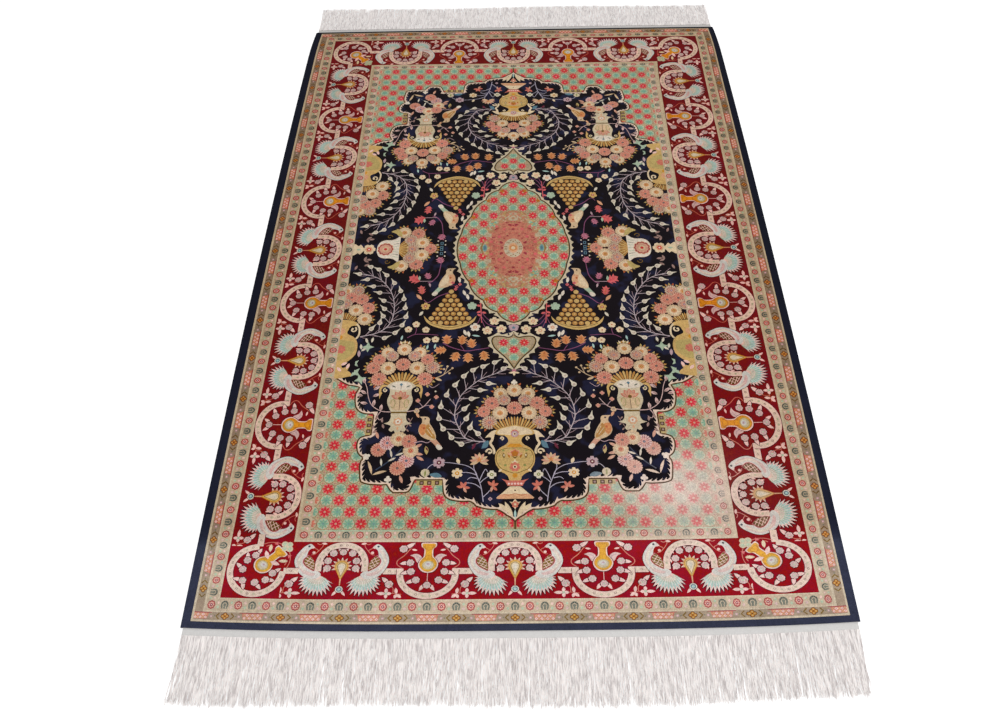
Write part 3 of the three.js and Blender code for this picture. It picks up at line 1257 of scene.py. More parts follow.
def golden_urn() -> Drawing:
    """The tall golden urn, with its middle line at x = 0 and its mouth at y = 0."""
    drawing = Drawing()
    drawing.stamp(ray_crown(54, 33, 46, 17), at=-22j)
    foot = [(28, -124), (28, -120), (21, -114), (13, -106), (8, -102), (0, -102)]
    drawing.lay(Dye.CREAM, turned([(0, -124), *foot], 2))
    drawing.lay(Dye.PEACH, turned([(0, -124), (28, -124), (28, -121), (22, -116), (0, -116)], 2))
    drawing.lay(Dye.BROWN, disc(1.5, 6), at=-109j)
    drawing.lay(
        Dye.RUST,
        ribbon(flowing([-19 - 115.5j, -10 - 118j, -114.5j, 10 - 118j, 19 - 115.5j], 2, closed=False), 0.9),
    )
    drawing.lay(
        Dye.SALMON,
        np.array([-22 - 88j, -16 - 93j, -12 - 101j, 12 - 101j, 16 - 93j, 22 - 88j, 12 - 91j, -12 - 91j]),
    )
    for i in range(-2, 3):
        drawing.lay(Dye.PALE_PINK, disc(2.1, 6), at=i * 5 - 97j)
    handle = [36 - 1j, 38 - 14j, 41 - 21j, 36 - 30j, 34 - 38j, 36 - 41j]
    for side in (1, -1):
        part = Drawing()
        part.lay(Dye.CREAM, ribbon(flowing(handle, 4, closed=False), 4.5, 3.5))
        part.lay(
            Dye.CREAM, *[leaf(5, 3) * way(-turn) + place for turn, place in ((60, 36 - 12j), (120, 35 - 26j))]
        )
        part.lay(
            Dye.CREAM, flowing([30, 30 + 5j, 40 + 2j, 50 - 10j, 50 - 10j, 41 - 9j, 38 - 14j, 34 - 4j], 2)
        )
        part.stamp(curl(6.0, 3.4, Dye.CREAM), at=42 - 37j, turn=170, flip=True)
        drawing.stamp(part, flip=side < 0)
    bowl = [(0, -91), (9, -91), (11, -84), (17, -78), (25, -74), (26, -70), (31, -62), (33, -50), (31, -38)]
    bowl += [
        (25, -30), (17, -25), (13, -21), (11, -17), (13, -10), (22, -6), (31, -4), (33, 1), (24, 9), (0, 15)
    ]
    drawing.lay(Dye.PALE_GOLD, turned(bowl, 2))
    drawing.lay(Dye.CREAM, turned([(0, -6), (20, -4), (30, -2), (24, 7), (0, 13)], 2))
    drawing.lay(Dye.GOLD, turned([(0, -29), (14, -28), (8, -22), (0, -22)], 1))
    drawing.lay(
        Dye.OLIVE, turned([(0, -79), (21, -71), (30, -58), (31, -47), (27, -35), (12, -30), (0, -30)], 2)
    )
    drawing.lay(
        Dye.WHEAT, turned([(0, -78), (20, -70), (29, -58), (30, -47), (26, -36), (12, -31), (0, -31)], 2)
    )
    for side in (-1, 1):
        for place, turn in ((12 - 72j, 70), (22 - 63j, 40), (25 - 50j, 5), (22 - 38j, -30), (11 - 34j, -60)):
            drawing.lay(Dye.STRAW, leaf(7, 3), at=complex(side * place.real, place.imag), turn=-side * turn)
    for side in (-1, 1):
        drawing.lay(Dye.NAVY, disc(6.2, 8, 1.3), at=side * 21 - 11.5j)
        drawing.stamp(curl(3.6, 2.4, Dye.CREAM), at=side * 22 - 11j, turn=90, flip=side < 0)
        drawing.lay(Dye.CREAM, leaf(8, 4), at=side * 21 - 70j, turn=side * -130)
        drawing.lay(Dye.AMBER, leaf(12, 4), at=side * 9 - 50j, turn=side * -8)
        drawing.lay(Dye.OLIVE, leaf(11, 5), at=side * 18 - 50j, turn=side * -4)
        drawing.lay(Dye.CREAM, leaf(6, 2.5), at=side * 18 - 47j)
        drawing.lay(Dye.MOSS, disc(2.6, 5), at=side * 16 - 63j)
        drawing.lay(Dye.MOSS, disc(2.2, 5), at=side * 19 - 35j)
    for swing in (-64, -32, 0, 32, 64):
        drawing.lay(Dye.PEACH, leaf(15, 5), at=-46j, turn=swing)
    drawing.lay(Dye.SALMON, petalled(7, 5, 0.25), at=-40j)
    drawing.lay(Dye.AMBER, petalled(6, 5, 0.25), at=-41j)
    drawing.lay(Dye.OLIVE, np.array([-6 - 45j, -51j, 6 - 45j, -48j]))
    drawing.lay(Dye.CREAM, star(6.5, 2.5, 4), at=-57j)
    drawing.lay(Dye.SALMON, petalled(9, 7, 0.25), at=-66j)
    drawing.lay(Dye.CREAM, disc(3.6, 8), at=-66j)
    drawing.lay(Dye.BROWN, disc(2.0, 6), at=-66j)
    drawing.lay(Dye.GOLD, disc(4.5, 8), at=-82j)
    drawing.lay(Dye.SALMON, disc(8, 8, 0.9), at=-2j)
    drawing.lay(Dye.LILAC, petalled(6.5, 8, 0.2), at=-3j)
    drawing.lay(Dye.CREAM, disc(3.2, 6), at=-3j)
    drawing.lay(Dye.PLUM, disc(1.8, 6), at=-3j)
    return drawing


def white_urn() -> Drawing:
    """The slender white urn, with its middle line at x = 0 and its mouth at y = 0."""
    drawing = Drawing()
    drawing.stamp(ray_crown(38, 17, 62, 13), at=-17j)
    for side in (1, -1):
        part = Drawing()
        part.lay(
            Dye.PALE_GOLD, flowing([24 - 8j, 34 - 6j, 39 - 16j, 37 - 36j, 37 - 36j, 33 - 24j, 27 - 17j], 3)
        )
        part.lay(Dye.NAVY, disc(8.4, 10), at=27 - 18j)
        part.stamp(curl(4.4, 2.4, Dye.CREAM), at=27.5 - 18j, turn=90)
        part.lay(Dye.MOSS, disc(1.8, 5), at=29 - 16j)
        drawing.stamp(part, flip=side < 0)
    foot = [
        (0, -105), (4, -104.5), (6, -100), (10, -103), (15, -99), (12, -93), (13, -90), (18, -88.5),
        (25, -86), (25, -86),
    ]
    foot += [(18, -84), (14.5, -79), (13, -72), (13.5, -66), (0, -66)]
    drawing.lay(Dye.ECRU, turned(foot, 2))
    drawing.lay(Dye.PEACH, petalled(8.5, 7, 0.2), at=-83j)
    drawing.lay(Dye.IVORY, petalled(5.4, 5, 0.2), at=-83j)
    drawing.lay(Dye.RUST, disc(1.8, 6), at=-83j)
    drawing.lay(Dye.PEACH, leaf(8, 4), at=-100j)
    body = [
        (0, -63), (13, -63), (18, -55), (22, -45), (22.5, -37), (20, -28), (19, -20), (21, -14), (27, -10),
        (27, -10),
    ]
    body += [(20, -3), (10, 1), (0, 2)]
    drawing.lay(Dye.ECRU, turned(body, 2))
    drawing.lay(Dye.IVORY, turned([(0, -18), (17, -16), (20, -10), (14, -2), (0, 0)], 2))
    drawing.lay(Dye.OLIVE, np.array([-14 - 62.6j, 14 - 62.6j, 14 - 65.6j, -14 - 65.6j]))
    drawing.lay(Dye.BISCUIT, turned([(0, -60), (12, -58), (16, -50), (18, -40), (12, -36), (0, -36)], 2))
    for side in (-1, 1):
        drawing.lay(
            Dye.MOSS,
            ribbon(
                flowing(
                    [
                        side * (12 + 4 * math.cos(a)) + 1j * (-46 + 9 * math.sin(a))
                        for a in np.linspace(0, 6.28, 9)[:-1]
                    ],
                    1,
                    closed=True,
                ),
                1.0,
            ),
        )
        drawing.lay(Dye.SAGE, leaf(9, 3), at=side * 9 - 12j, turn=side * -62)
    for swing in (-66, -33, 0, 33, 66):
        drawing.lay(Dye.TERRACOTTA, leaf(18, 9), at=-36j, turn=swing)
        drawing.lay(Dye.PETAL, leaf(14.5, 6.5), at=-35j, turn=swing)
        drawing.lay(Dye.PEACH, leaf(9, 3), at=-34j, turn=swing)
    drawing.lay(Dye.OLIVE, petalled(3.6, 5, 0.2), at=-35j)
    drawing.lay(Dye.BROWN, ribbon(np.array([-38j, -60j]), 0.9))
    drawing.lay(Dye.SLATE, petalled(3.0, 4, 0.3), at=-6j)
    drawing.lay(Dye.BROWN, ribbon(np.array([-8j, -16j]), 0.9))
    return drawing


# ---- Birds ----


def songbird(breast: Dye, wing: Dye, tail: Dye) -> Drawing:
    """A perched bird that looks left, with its head at the origin and its tail down to the right."""
    drawing = Drawing()
    drawing.lay(tail, flowing([15 - 34j, 22 - 42j, 31 - 54j, 32 - 58j, 26 - 60j, 18 - 50j, 9 - 40j], 2))
    drawing.lay(Dye.IVORY, flowing([24 - 50j, 31 - 54j, 32 - 59j, 26 - 61j, 21 - 55j], 2))
    body = [
        -11 + 5j, -11 + 5j, -2 + 5j, 5 + 4j, 8 - 1j, 8 - 8j, 14 - 18j, 20 - 32j, 19 - 42j, 8 - 41j, -4 - 35j
    ]
    body += [-10 - 25j, -9 - 14j, -5 - 7j, -6 + 1j]
    drawing.lay(Dye.BISCUIT, flowing(body, 3))
    drawing.lay(breast, flowing([-6 - 10j, 3 - 12j, 4 - 22j, -2 - 33j, -9 - 25j, -9 - 15j], 2))
    drawing.lay(wing, flowing([5 - 10j, 10 - 16j, 17 - 30j, 19 - 40j, 8 - 34j, 1 - 24j], 2))
    drawing.lay(
        Dye.CREAM, ribbon(np.array([4 - 20j, 14 - 34j]), 1.0), ribbon(np.array([8 - 16j, 16 - 30j]), 1.0)
    )
    drawing.lay(Dye.RUST, disc(2.4, 6), at=-1 - 18j)
    drawing.lay(Dye.INK, disc(1.7, 6), at=0.5j)
    return drawing


# ---- The field ----


def lattice_rosette(outer: Dye, petal: Dye, gap: Dye, heart: Dye) -> Drawing:
    """One eight-petalled rosette of the field's lattice, in its thin-lined cell."""
    drawing = Drawing()
    drawing.lay(Dye.OLIVE_LINE, disc(11.1, 8))
    drawing.lay(Dye.BEIGE, disc(10.4, 8))
    drawing.lay(outer, petalled(9.5, 8, 0.2))
    drawing.lay(petal, star(9.2, 5.6, 8, 90))
    drawing.lay(gap, star(9.2, 1.6, 8, 90 + 22.5))
    drawing.lay(petal, disc(4.8, 8))
    drawing.lay(heart, disc(2.2, 6))
    return drawing


def lattice_knot() -> Drawing:
    """The small square where four cells of the lattice meet."""
    drawing = Drawing()
    for radius, dye in ((5.6, Dye.OLIVE_LINE), (4.7, Dye.BEIGE), (2.6, Dye.STRAW), (1.5, Dye.MAUVE_PINK)):
        drawing.lay(dye, disc(radius, 4))
    return drawing


def lattice_pair() -> tuple[Drawing, Drawing]:
    """The red and the green rosette of the lattice."""
    red = lattice_rosette(Dye.CHERRY_PINK, Dye.RED, Dye.PEACH, Dye.PETAL)
    return red, lattice_rosette(Dye.CELADON, Dye.TURQUOISE, Dye.ECRU, Dye.SLATE_GREEN)


def lying_urn() -> Drawing:
    """The cup-shaped white urn of the cross axis, with its mouth upwards at the origin."""
    drawing = Drawing()
    drawing.stamp(ray_crown(28, 8, 50, 13), at=-8j)
    for side in (-1, 1):
        scroll = [
            side * 33 + 4j, side * 46 + 2j, side * 52 - 8j, side * 47 - 20j, side * 42 - 10j, side * 36 - 4j
        ]
        drawing.lay(Dye.STRAW, flowing(scroll, 3))
        drawing.stamp(curl(6, 2.0, Dye.OLIVE), at=side * 33 - 22j, turn=side * 90, flip=side < 0)
    cup = [(0, 0), (30, 1), (33, -2), (27, -9), (24, -18), (24, -30), (19, -40), (9, -45), (0, -46)]
    for dye, inset in ((Dye.BROWN, -1.2), (Dye.IVORY, 0.0)):
        drawing.lay(dye, turned([(max(0, half - inset), height) for half, height in cup], 3))
    for x in (-22, -15, -8, 0, 8, 15, 22):
        drawing.lay(
            Dye.SAGE if x % 2 else Dye.PALE_GREEN, ribbon(np.array([x - 1j, x * 0.85 - 13j]), 1.6, 0.8)
        )
    for radius, dye in (
        (17, Dye.PEACH), (15.5, Dye.GARNET), (13, Dye.PETAL), (7, Dye.BISCUIT), (3.4, Dye.CHERRY)
    ):
        drawing.lay(dye, petalled(radius, 11, 0.12), at=-28j)
    for radius, dye in ((13.5, Dye.CREAM), (8, Dye.PEACH), (4.6, Dye.CHERRY), (2.0, Dye.IVORY)):
        drawing.lay(dye, petalled(radius, 6, 0.2), at=-62j)
    drawing.lay(
        Dye.CREAM, turned([(0, -72), (5, -74), (13, -80), (9, -84), (14, -90), (14, -95), (0, -95)], 2)
    )
    drawing.lay(Dye.PALE_GREEN, leaf(10, 5), at=-78j, turn=180)
    return drawing


@dataclass(frozen=True)
class Field:
    """The field: a lattice of rosettes round a large dark medallion.

    Attributes:
        cell: The lattice's step across and along the rug.
        oval_cell: The same in the middle oval.
        columns: How many rosettes lie from the middle to a side, with the faded ones along the side.
        rows: How many lie from the middle to an end.
    """

    cell: tuple[float, float] = (20.43, 20.46)
    oval_cell: tuple[float, float] = (20.2, 21.75)
    columns: int = 17
    rows: int = 31

    def lattice(
        self,
        keep: Callable[[complex], bool],
        cell: tuple[float, float],
        red_first: bool,
        within: Places | None = None,
    ) -> Drawing:
        """Rosettes on every crossing of the lattice in the near left quarter, red and green in turn.

        Args:
            keep: Whether a rosette at a place is wanted.
            cell: The step across and along.
            red_first: Whether the rosette in the middle of the rug is red.
            within: An outline that they may not pass.

        Returns:
            The drawing.
        """
        drawing = Drawing()
        dx, dy = cell
        red, green = lattice_pair()
        faded = lattice_rosette(Dye.SAND, Dye.SALMON, Dye.PEACH, Dye.PETAL)
        for i in range(self.columns):
            for k in range(self.rows):
                place = complex(-i * dx, -k * dy)
                corner = place + complex(-dx / 2, -dy / 2)
                if keep(place):
                    last = faded if i == self.columns - 1 else red
                    drawing.stamp(green if (i + k) % 2 == red_first else last, at=place)
                if keep(corner):
                    drawing.stamp(lattice_knot(), at=corner)
        if within is None:
            return drawing
        return Drawing([Shape(dye, outline, within) for dye, outline, _ in drawing.shapes])

    def medallion_line(self) -> Places:
        """The medallion's outline in the near left quarter, from its tip on the axis to the field's side."""
        rows = [(0, -593, 0), (-14, -581, -0.15), (-29, -571, -0.1), (-64, -564, 0.12), (-74, -556, -0.2)]
        rows += [(-105, -553, 0.1), (-118, -535, 0.3), (-119, -517, 0), (-164, -517, 0), (-171, -536, 0.1)]
        rows += [(-180, -540, 0.2), (-198, -540, 0), (-206, -533, 0.1), (-211, -525, 0), (-220, -526, 0)]
        rows += [(-238, -525, 0), (-254, -520, 0.1), (-258, -507, 0.15), (-260, -492, 0), (-259, -480, 0.05)]
        rows += [
            (-256, -474, -0.2), (-268, -458, 0.25), (-269, -445, 0.1), (-264, -434, 0.2), (-247, -430, 0.15)
        ]
        rows += [(-246, -391, 0), (-247, -389, 0), (-268, -386, 0.15), (-281, -368, 0.25), (-283, -354, 0.05)]
        rows += [(-277, -333, 0.15), (-296, -329, -0.05), (-312, -320, 0.05), (-325, -311, 0)]
        return bowed(rows)

    def oval_line(self) -> Places:
        """The middle oval's outline in the near left quarter."""
        return bowed(
            [
                (0, -186, 0), (-31, -160, 0.26), (-58, -132, 0.3), (-87, -86, 0.22), (-106, -40, 0.14),
                (-113.5, 0, 0.1),
            ]
        )

    def ground(self) -> Drawing:
        """The lattice outside the medallion."""
        inside = np.concatenate([shifted(self.medallion_line(), -9.0), [-325, 0, 0]])
        drawing = self.lattice(lambda place: not covers(inside, np.array([place]))[0], self.cell, False)
        for x0, y0, dx, dy in ((-161, -526, 42, 9), (-255.5, -430, 9, 38)):
            tan = np.array([0, dx, dx + 1j * dy, 1j * dy]) + complex(x0, y0)
            drawing.lay(Dye.STRAW, tan)
            for share in (0.2, 0.5, 0.8):
                at = complex(x0 + dx * (share if dx > dy else 0.5), y0 + dy * (0.5 if dx > dy else share))
                drawing.lay(Dye.BROWN, 5.0 * disc(1, 4), at=at)
                drawing.lay(Dye.TAUPE, 2.6 * disc(1, 4), at=at)
        drawing.lay(Dye.OLIVE_LINE, np.array([-2.5, 2.5, 2.5 + 17j, -2.5 + 17j]) - 606j)
        drawing.lay(Dye.BROWN, np.array([-1, 1, 1 + 17j, -1 + 17j]) - 606j)
        return drawing

    def medallion(self) -> Drawing:
        """The dark medallion and all that grows in it."""
        line = self.medallion_line()
        drawing = Drawing()
        rims = (
            (Dye.BROWN, line),
            (Dye.OLIVE, shifted(line, -1.7)),
            (Dye.REED, shifted(line, -2.7)),
            (Dye.NAVY, toothed(line, -4.9, -5.2, 9.5)),
        )
        for dye, rim in rims:
            drawing.lay(
                dye, np.concatenate([rim, [complex(-340, rim[-1].imag), -340 + 20j, 20 + 20j, 20 - 590j]])
            )
        self.near_half(drawing)
        self.middle_half(drawing)
        self.oval(drawing)
        return drawing

    def near_half(self, drawing: Drawing) -> None:
        """Lays the urns, bouquets and branches of the medallion's end."""
        fruit = pear()
        stem = [
            -47 - 445j, -69 - 443j, -85 - 436j, -94 - 420j, -102 - 400j, -103 - 385j, -100 - 367j, -92 - 349j
        ]
        stem += [-78 - 333j, -58 - 316j, -29 - 303j, -14 - 296j]
        outer = [
            -19 - 294j, -35 - 280j, -56 - 289j, -74 - 297j, -90 - 310j, -105 - 329j, -119 - 350j, -128 - 374j
        ]
        outer += [-130 - 398j, -122 - 419j, -107 - 436j, -90 - 449j]
        inner = [-45 - 326j, -60 - 340j, -75 - 358j, -87 - 379j, -83 - 399j, -76 - 417j, -62 - 429j]
        drawing.stamp(branch(stem, outer + inner, fruit))
        drawing.lay(Dye.SLATE, flowing([-44 - 443j, -52 - 446j, -56 - 458j, -56 - 458j, -46 - 455j], 3))
        drawing.lay(Dye.PLUM, leaf(14, 5, 1), at=-66 - 447j, turn=160)
        self.foot_sprays(drawing)
        drawing.stamp(
            bouquet(
                [
                    (-39, -368, 13, "pink"), (39, -368, 13, "pink"), (-53, -385, 11, "pink"),
                    (53, -385, 11, "pink"), (-24, -348, 12, "cream"), (24, -348, 12, "cream"),
                    (-18, -361, 11, "grey"), (18, -361, 11, "grey"), (0, -341, 13, "cream"),
                    (-43, -407, 13, "grey"), (43, -407, 13, "grey"), (0, -378, 13, "pink"),
                    (-25, -388, 13, "cream"), (25, -388, 13, "cream"),
                ],
                -385j,
            )
        )
        drawing.stamp(golden_urn(), at=-427j)
        drawing.stamp(trefoil(), at=-326j, size=0.8)
        self.tip(drawing)
        self.white_urn_group(drawing)
        self.garland(drawing)
        self.songbird_perch(drawing)

    def tip(self, drawing: Drawing) -> None:
        """Lays the small flower and cream leaves in the medallion's tip."""
        for side in (-1, 1):
            drawing.lay(Dye.CREAM, leaf(30, 8, side * -3), at=side * 3 - 583j, turn=side * -32)
            drawing.lay(Dye.CREAM, leaf(24, 7, side * -3), at=side * 8 - 574j, turn=side * -58)
        drawing.lay(
            Dye.CREAM,
            flowing([-9 - 556j, -3 - 563j, -570j, 3 - 563j, 9 - 556j, 4 - 557j, -551j, -4 - 557j], 2),
        )
        drawing.lay(Dye.SALMON, petalled(6, 5, 0.25), at=-561j)
        drawing.lay(Dye.CREAM, disc(2.2, 6), at=-561j)
        drawing.lay(Dye.SKY, leaf(16, 4), at=-586j)

    def foot_sprays(self, drawing: Drawing) -> None:
        """Lays the flowering sprays beside the golden urn's foot."""
        for line in (
            [
                -51 - 556j, -55 - 530j, -61 - 512j, -66 - 500j, -78 - 491j, -92 - 487j, -112 - 484j,
                -136 - 484j,
            ],
            [-58 - 520j, -64 - 505j, -68 - 490j, -60 - 478j],
            [-57 - 522j, -50 - 515j, -40 - 508j],
            [-55 - 532j, -66 - 524j, -80 - 522j, -88 - 528j],
            [-52 - 548j, -44 - 540j, -38 - 532j],
            [-62 - 508j, -76 - 503j, -92 - 503j],
            [-58 - 518j, -52 - 503j, -48 - 497j, -45 - 502j],
            [-118 - 484j, -138 - 488j, -148 - 500j],
            [-62 - 514j, -72 - 512j, -78 - 516j],
        ):
            drawing.stamp(sprig(line, Dye.LAVENDER, 1.4))
        for i, swing in enumerate((-112, -84, -56, -28, 0, 28, 56, 84, 112)):
            drawing.lay(Dye.PETAL if i % 2 else Dye.BISCUIT, leaf(16.5, 6), at=-59 - 482j, turn=swing)
        drawing.lay(Dye.ORANGE, star(7, 2.5, 5), at=-59 - 479j)
        drawing.stamp(small_flower(10.5, 6, Dye.LILAC, Dye.PLUM), at=-126 - 484j)
        drawing.stamp(small_flower(9.5, 6, Dye.CREAM, Dye.GOLD), at=-95 - 504j)
        drawing.stamp(small_flower(8, 4, Dye.PEARL, Dye.MOSS), at=-38 - 507j)
        drawing.lay(Dye.ECRU, drop(7.5, 9, 8), at=-148 - 503j, turn=180)
        drawing.lay(Dye.MOSS, leaf(12, 3.5), at=-148 - 510j)
        drawing.lay(Dye.CREAM, leaf(12, 6), at=-92 - 487j, turn=20)
        drawing.lay(Dye.SLATE, flowing([-120 - 510j, -128 - 503j, -141 - 506j, -130 - 512j], 3))
        for place, turn in ((-84 - 530j, 20), (-37 - 528j, -20)):
            for swing in (-115, -45, 5, 60):
                drawing.lay(Dye.SALMON, leaf(11.5, 5), at=place, turn=turn + swing)
            drawing.lay(Dye.PETAL, leaf(11, 4.5), at=place, turn=turn + 190)
        drawing.stamp(small_flower(3.4, 4, Dye.LILAC, Dye.PLUM), at=-40 - 551j)

    def white_urn_group(self, drawing: Drawing) -> None:
        """Lays the white urn, its bouquet and the twigs beside it."""
        left = [-195 - 384j, -215 - 384j, -233 - 382j, -250 - 370j, -258 - 353j, -262 - 335j, -267 - 322j]
        drawing.stamp(sprig(left, Dye.BLUSH, 1.5))
        for place, turn in (
            (-262 - 346j, 62), (-250 - 352j, -60), (-247 - 372j, 3), (-258 - 366j, 88), (-268 - 324j, 12),
            (-250 - 338j, -50), (-268 - 350j, 80), (-233 - 382j, 5),
        ):
            drawing.lay(Dye.BLUSH, leaf(14, 6, 1.5), at=place, turn=turn)
            drawing.lay(Dye.TAUPE, leaf(9, 2.6), at=place, turn=turn)
        drawing.stamp(
            sprig([-195 - 384j, -183 - 383j, -170 - 380j, -158 - 373j, -147 - 358j], Dye.BLUSH, 1.6)
        )
        drawing.stamp(sprig([-160 - 374j, -166 - 366j, -172 - 363j], Dye.LILAC, 1.3))
        drawing.stamp(sprig([-158 - 373j, -152 - 371j, -146 - 372j], Dye.LILAC, 1.3))
        for place in (-169 - 361j, -153 - 348j, -137 - 354j, -144 - 374j):
            drawing.stamp(small_flower(4.4, 4, Dye.PETAL, Dye.CHERRY_PINK), at=place)
        drawing.stamp(small_flower(5.5, 3, Dye.BISCUIT, Dye.TAUPE), at=-170 - 382j)
        drawing.lay(Dye.PEACH, leaf(12, 5, 2), at=-171 - 386j, turn=-140)
        drawing.stamp(sprig([-151 - 329j, -144 - 334j, -133 - 326j], Dye.LILAC, 1.3))
        drawing.lay(Dye.PEARL, disc(1.9, 5), at=-139 - 342j)
        drawing.stamp(sprig([-233 - 383j, -238 - 392j, -234 - 400j, -228 - 396j], Dye.BLUSH, 1.3))
        for place, turn in (
            (-237 - 392j, 150), (-230 - 396j, 190), (-242 - 410j, 160), (-228 - 408j, 200), (-236 - 420j, 130)
        ):
            drawing.lay(Dye.TAUPE, leaf(10, 4.4), at=place, turn=turn)
        drawing.stamp(sprig([-176 - 396j, -184 - 412j, -189 - 424j], Dye.TAUPE, 1.3))
        for place in (-180 - 402j, -177 - 414j, -187 - 410j, -181 - 424j, -192 - 424j):
            drawing.lay(Dye.TAUPE, leaf(7, 3), at=place, turn=40)
        for x, y, turn in ((-277, -315, 0), (-288, -300, 30)):
            drawing.lay(Dye.PALE_GREEN, star(12, 5, 4, 20), at=complex(x, y), turn=turn)
        flowers = [
            (-255, -290, 13, "pink"), (-147, -290, 13, "grey"), (-246, -272, 12, "pink"),
            (-157, -272, 12, "pink"), (-231, -256, 12, "cream"), (-172, -256, 12, "cream"),
            (-222, -264, 11.5, "grey"), (-181, -264, 11.5, "grey"), (-243, -315, 14, "pink"),
            (-160, -315, 14, "pink"), (-201, -249, 13, "cream"), (-201, -283, 13.5, "pink"),
            (-228, -291, 14, "cream"), (-175, -291, 14, "cream"),
        ]
        for swing in (-28, 0, 28):
            drawing.lay(Dye.CREAM, leaf(20, 6), at=-201 - 247j, turn=swing)
        drawing.stamp(bouquet(flowers, -201 - 290j))
        drawing.stamp(white_urn(), at=-201 - 321j)

    def garland(self, drawing: Drawing) -> None:
        """Lays the bent garland under the white urn."""
        drawing.stamp(sprig([-231 - 497j, -214 - 484j, -200 - 470j, -190 - 456j], Dye.DUSK, 2.2))
        for place, turn in (
            (-222 - 490j, 8), (-212 - 481j, -62), (-206 - 474j, 12), (-200 - 470j, -70), (-210 - 462j, 0)
        ):
            drawing.lay(Dye.PEARL, leaf(15, 3.8), at=place, turn=turn)
        drawing.lay(Dye.BISCUIT, leaf(27, 5, 4), at=-246 - 480j, turn=-152)
        drawing.lay(Dye.BISCUIT, leaf(25, 5, -4), at=-212 - 499j, turn=98)
        for place, turn in (
            (-169 - 466j, -100), (-165 - 472j, -120), (-170 - 456j, -60), (-190 - 507j, 200),
            (-232 - 438j, 20),
        ):
            drawing.lay(Dye.PETAL, leaf(16, 5.6), at=place, turn=turn)
        rows = [
            (-230, -459, 13, "pink"), (-216, -446, 13, "grey"), (-197, -438, 14, "red"),
            (-181, -480, 13, "grey"), (-175, -461, 13, "red"), (-179, -443, 13, "pink"),
            (-195, -494, 13, "pink"),
        ]
        kinds = {
            "pink": pompon(),
            "grey": pompon(core=Dye.SLATE, gap=Dye.GARNET, ray=Dye.BLUSH),
            "red": open_flower(heart=Dye.CHERRY),
        }
        for x, y, radius, kind in rows:
            drawing.stamp(kinds[kind], at=complex(x, y), size=radius / 12.6)
        drawing.stamp(trefoil(), at=-209 - 517j, size=0.9)
        drawing.stamp(trefoil(), at=-251 - 473j, turn=-60, size=0.9)

    def songbird_perch(self, drawing: Drawing) -> None:
        """Lays the songbird beside the garland, and its bud."""
        drawing.stamp(sprig([-170 - 446j, -158 - 443j, -148 - 446j, -140 - 441j], Dye.LILAC, 1.6))
        drawing.stamp(songbird(Dye.ORANGE, Dye.HONEY, Dye.PETAL), at=-154 - 399j)
        drawing.lay(Dye.STRAW, leaf(17, 7, 2), at=-150 - 452j, turn=-165)
        drawing.lay(Dye.PLUM, leaf(9, 3), at=-150 - 454j, turn=-150)

    def middle_half(self, drawing: Drawing) -> None:
        """Lays what stands between the white urn and the rug's cross axis."""
        self.side_branch(drawing)
        self.side_urns(drawing)
        self.maple(drawing)
        self.ball_pyramid(drawing)
        self.twig_bird(drawing)
        self.oval_shrub(drawing)

    def side_branch(self, drawing: Drawing) -> None:
        """Lays the pear branch that bends round the side bouquet."""
        stem = [
            -288 - 219j, -256 - 210j, -238 - 195j, -230 - 177j, -228 - 150j, -234 - 119j, -247 - 95j,
            -267 - 75j, -296 - 64j,
        ]
        fruits = [
            -241 - 222j, -222 - 210j, -210 - 192j, -204 - 172j, -207 - 150j, -211 - 128j, -219 - 108j,
            -233 - 88j, -250 - 68j, -267 - 53j, -284 - 46j, -268 - 200j, -253 - 186j, -248 - 170j,
            -247 - 152j, -250 - 132j, -260 - 112j, -274 - 96j, -288 - 78j, -305 - 64j,
        ]
        drawing.stamp(branch(stem, fruits, pear(), 16))
        for place, turn in ((-276 - 222j, 200), (-262 - 220j, 170), (-284 - 236j, 190), (-272 - 244j, 130)):
            drawing.lay(Dye.PEARL, leaf(13, 5), at=place, turn=turn)
        drawing.lay(Dye.PALE_GREEN, star(12, 5, 4, 0), at=-270 - 243j)
        drawing.lay(Dye.PALE_GREEN, star(10, 4, 4, 45), at=-291 - 280j)
        drawing.lay(Dye.LILAC, leaf(16, 6), at=-286 - 250j, turn=185)

    def side_urns(self, drawing: Drawing) -> None:
        """Lays the urn on the cross axis and half an urn against the field's side, with their flowers."""
        rows = [
            (-223, -44, 14, "cream"), (-223, 44, 14, "cream"), (-194, -40, 14, "pink"),
            (-194, 40, 14, "pink"), (-208, -24, 13, "grey"), (-208, 24, 13, "grey"), (-167, 0, 13, "pink"),
            (-184, -16, 14, "cream"), (-184, 16, 14, "cream"), (-204, 0, 13, "grey"),
        ]
        drawing.stamp(bouquet(rows, -205 + 0j))
        drawing.stamp(lying_urn(), at=-231 + 0j, turn=-90)
        for place, turn in (
            (-300 - 30j, -20), (-312 - 42j, 160), (-296 - 26j, -100), (-290 - 34j, 60), (-288 - 38j, 120)
        ):
            drawing.lay(Dye.TAUPE, leaf(12, 5), at=place, turn=turn)
        for y in (-6.5, -17):
            drawing.lay(Dye.SLATE, np.array([-147, -141, -141 + 7j, -147 + 7j]) + 1j * y)
            drawing.lay(Dye.NAVY, np.array([-145.5, -142.5, -142.5 + 4j, -145.5 + 4j]) + 1j * (y + 1.5))
            drawing.lay(Dye.IVORY, disc(1.8, 5), at=-152 + 1j * (y - 3))
            drawing.lay(Dye.IVORY, disc(1.8, 5), at=-137 + 1j * (y - 3))
        half = Drawing()
        half.stamp(ray_crown(46, 30, 40, 15), at=-16j)
        bowl = [
            (0, -124), (30, -118), (26, -108), (12, -100), (12, -92), (22, -84), (33, -70), (35, -52),
            (32, -38), (24, -28),
        ]
        bowl += [(13, -22), (14, -12), (26, -5), (31, 2), (20, 9), (0, 12)]
        half.lay(Dye.PALE_GOLD, turned(bowl, 2))
